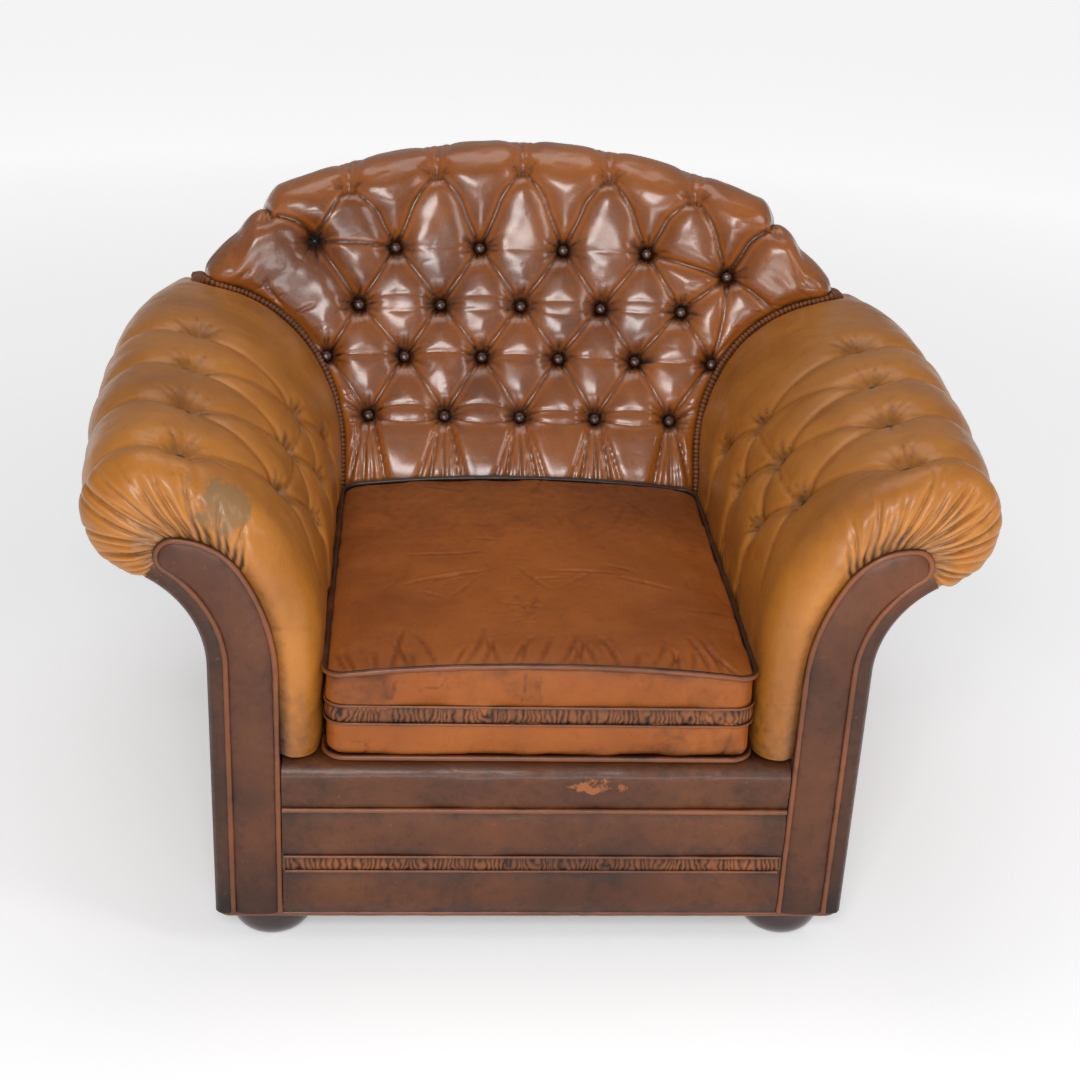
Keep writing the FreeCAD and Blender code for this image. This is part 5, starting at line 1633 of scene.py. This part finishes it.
def build_edge_roll():
    """The soft roll under the cushion's front edge."""
    height = EDGE_HIGH.z - EDGE_LOW.z
    depth = EDGE_HIGH.y - EDGE_LOW.y
    corner = 0.026
    rows, columns = 210, 60
    bend = on_circle((corner, height - corner), corner, np.linspace(180, 90, 22))
    section = resample(np.concatenate([[(0, 0)], bend, [(depth, height)]]), columns)
    x = np.linspace(EDGE_LOW.x, EDGE_HIGH.x, rows)
    along = np.linspace(0, 1, columns)
    belly = 0.0035 * np.sin(math.pi * np.clip(along / 0.55, 0, 1))
    grid_x, grid_t = np.meshgrid(x, along * 0.15, indexing="ij")
    lift = belly + 0.0012 * noise(grid_x, grid_t, 0.045, 121) - 0.0009 * wrinkles(
        0.5 * grid_x, grid_t, 0.026, 0.0012, 123)
    y = EDGE_LOW.y + section[:, 0] - lift * (along < 0.6)
    z = np.broadcast_to(EDGE_LOW.z + section[:, 1] - 0.0005, y.shape)
    # Painted shadow on the upper part that runs in under the cushion, and painted shade towards the
    # ends; the noise is uneven tone and the scuff is real wear.
    shade = 0.12 + 0.5 * smoothstep(0.5, 0.62, along) + 0.25 * noise(grid_x, grid_t, 0.07, 125)
    shade = shade + 0.35 * smoothstep(0.22, EDGE_HIGH.x, np.abs(grid_x))
    scuff = 1.1 - ((grid_x - 0.075) / 0.040) ** 2 - ((along - 0.26) / 0.09) ** 2
    scuff += 0.6 * noise(grid_x, grid_t, 0.012, 127)
    add_piece("edge_roll_leather", np.stack([grid_x, y, z], -1),
              grid_faces(rows, columns)[:, ::-1], "leather_dark", fill=0.8,
              stands_for=["front_edge_roll"], fold=shade, worn=scuff)


# ---- stage ------------------------------------------------------------------------------

FLOOR_GLOW_NEAR = 0.31
FLOOR_GLOW_FAR = 0.65
FLOOR_HALF = 14.0
SKY_STRENGTH = 0.28
CHAIR_MIDDLE = (0.0, -0.05, 0.45)
LIGHTS = {  # place, width, height and power
    "key": ((-0.4, -3.0, 2.3), 1.2, 0.8, 50),
    "low": ((0.2, -3.2, 0.9), 1.8, 0.6, 24),
    "window": ((2.0, -1.5, 2.2), 0.6, 1.1, 12),
    "overhead": ((-0.2, 0.6, 3.4), 2.0, 1.6, 20),
}
CAMERA_PLACE = (-0.156, -2.280, 1.410)
PITCH, YAW, ROLL = math.radians(24.8), math.radians(4.52), math.radians(2.79)
LENS = 59.5


def build_stage():
    """A plain pale floor that glows a little, more behind the chair."""
    mesh = bpy.data.meshes.new("floor")
    corners = [(x * FLOOR_HALF, y * FLOOR_HALF, 0) for x, y in ((-1, -1), (1, -1), (1, 1), (-1, 1))]
    mesh.from_pydata(corners, [], [(0, 1, 2, 3)])
    floor = add_object("floor", mesh)
    make = Recipe("pale_floor")
    soft = make.grain(1.2, 2.0, 0.5)
    tone = make.blend(make.ramp(soft, 0.3, 0.7), colour(238, 238, 239), colour(236, 236, 237))
    away = make.add("ShaderNodeVectorMath", {0: make.place}, operation="LENGTH").outputs["Value"]
    # Painted light: the floor's own glow, growing with distance, evens out its brightness and
    # lightens the chair's shadow on it.
    glow = make.ramp(away, 1.0, 4.0, FLOOR_GLOW_NEAR, FLOOR_GLOW_FAR)
    mesh.materials.append(make.finish(Base_Color=tone, Roughness=0.9, Emission_Strength=glow,
                                      Emission_Color=(1.0, 1.0, 1.0, 1.0)))


def add_light(name, place, width, height, power):
    """A soft box that faces the chair."""
    data = bpy.data.lights.new(name, "AREA")
    data.shape = "RECTANGLE"
    data.size, data.size_y = width, height
    data.energy = power
    light = add_object(name, data)
    light.location = place
    aim = Vector(CHAIR_MIDDLE) - Vector(place)
    light.rotation_mode = "QUATERNION"
    light.rotation_quaternion = aim.to_track_quat("-Z", "Y")


def build_lights():
    """Soft light from in front and overhead, and a pale surround."""
    world = bpy.data.worlds.new("studio")
    world.use_nodes = True
    sky = world.node_tree.nodes["Background"]
    sky.inputs["Color"].default_value = (1.0, 1.0, 1.0, 1.0)
    sky.inputs["Strength"].default_value = SKY_STRENGTH
    bpy.context.scene.world = world
    for name, (place, width, height, power) in LIGHTS.items():
        add_light(name, place, width, height, power)


def build_camera():
    """The viewing angle: from in front and above, turned a little to the right."""
    ahead = Vector((math.sin(YAW) * math.cos(PITCH), math.cos(YAW) * math.cos(PITCH),
                    -math.sin(PITCH)))
    level = Vector((math.cos(YAW), -math.sin(YAW), 0))
    above = level.cross(ahead)
    right = math.cos(ROLL) * level + math.sin(ROLL) * above
    up = math.cos(ROLL) * above - math.sin(ROLL) * level
    data = bpy.data.cameras.new("camera")
    data.lens, data.sensor_width = LENS, 36.0
    camera = add_object("camera", data)
    turn = Matrix((right, up, -ahead)).transposed().to_4x4()
    camera.matrix_world = Matrix.Translation(CAMERA_PLACE) @ turn
    bpy.context.scene.camera = camera
    bpy.context.scene.view_settings.view_transform = "Standard"


# ---- everything -------------------------------------------------------------------------

build_camera()
build_lights()
build_stage()
finish_frame_nodes()
build_back()
build_arm(-1, 3)
build_arm(1, 4)
build_all_buttons()
build_cushion()
for side, label in ((-1, "left"), (1, "right")):
    build_facing(side, label)
    build_outside_arm(side, label)
build_outside_back()
build_front()
build_welts()
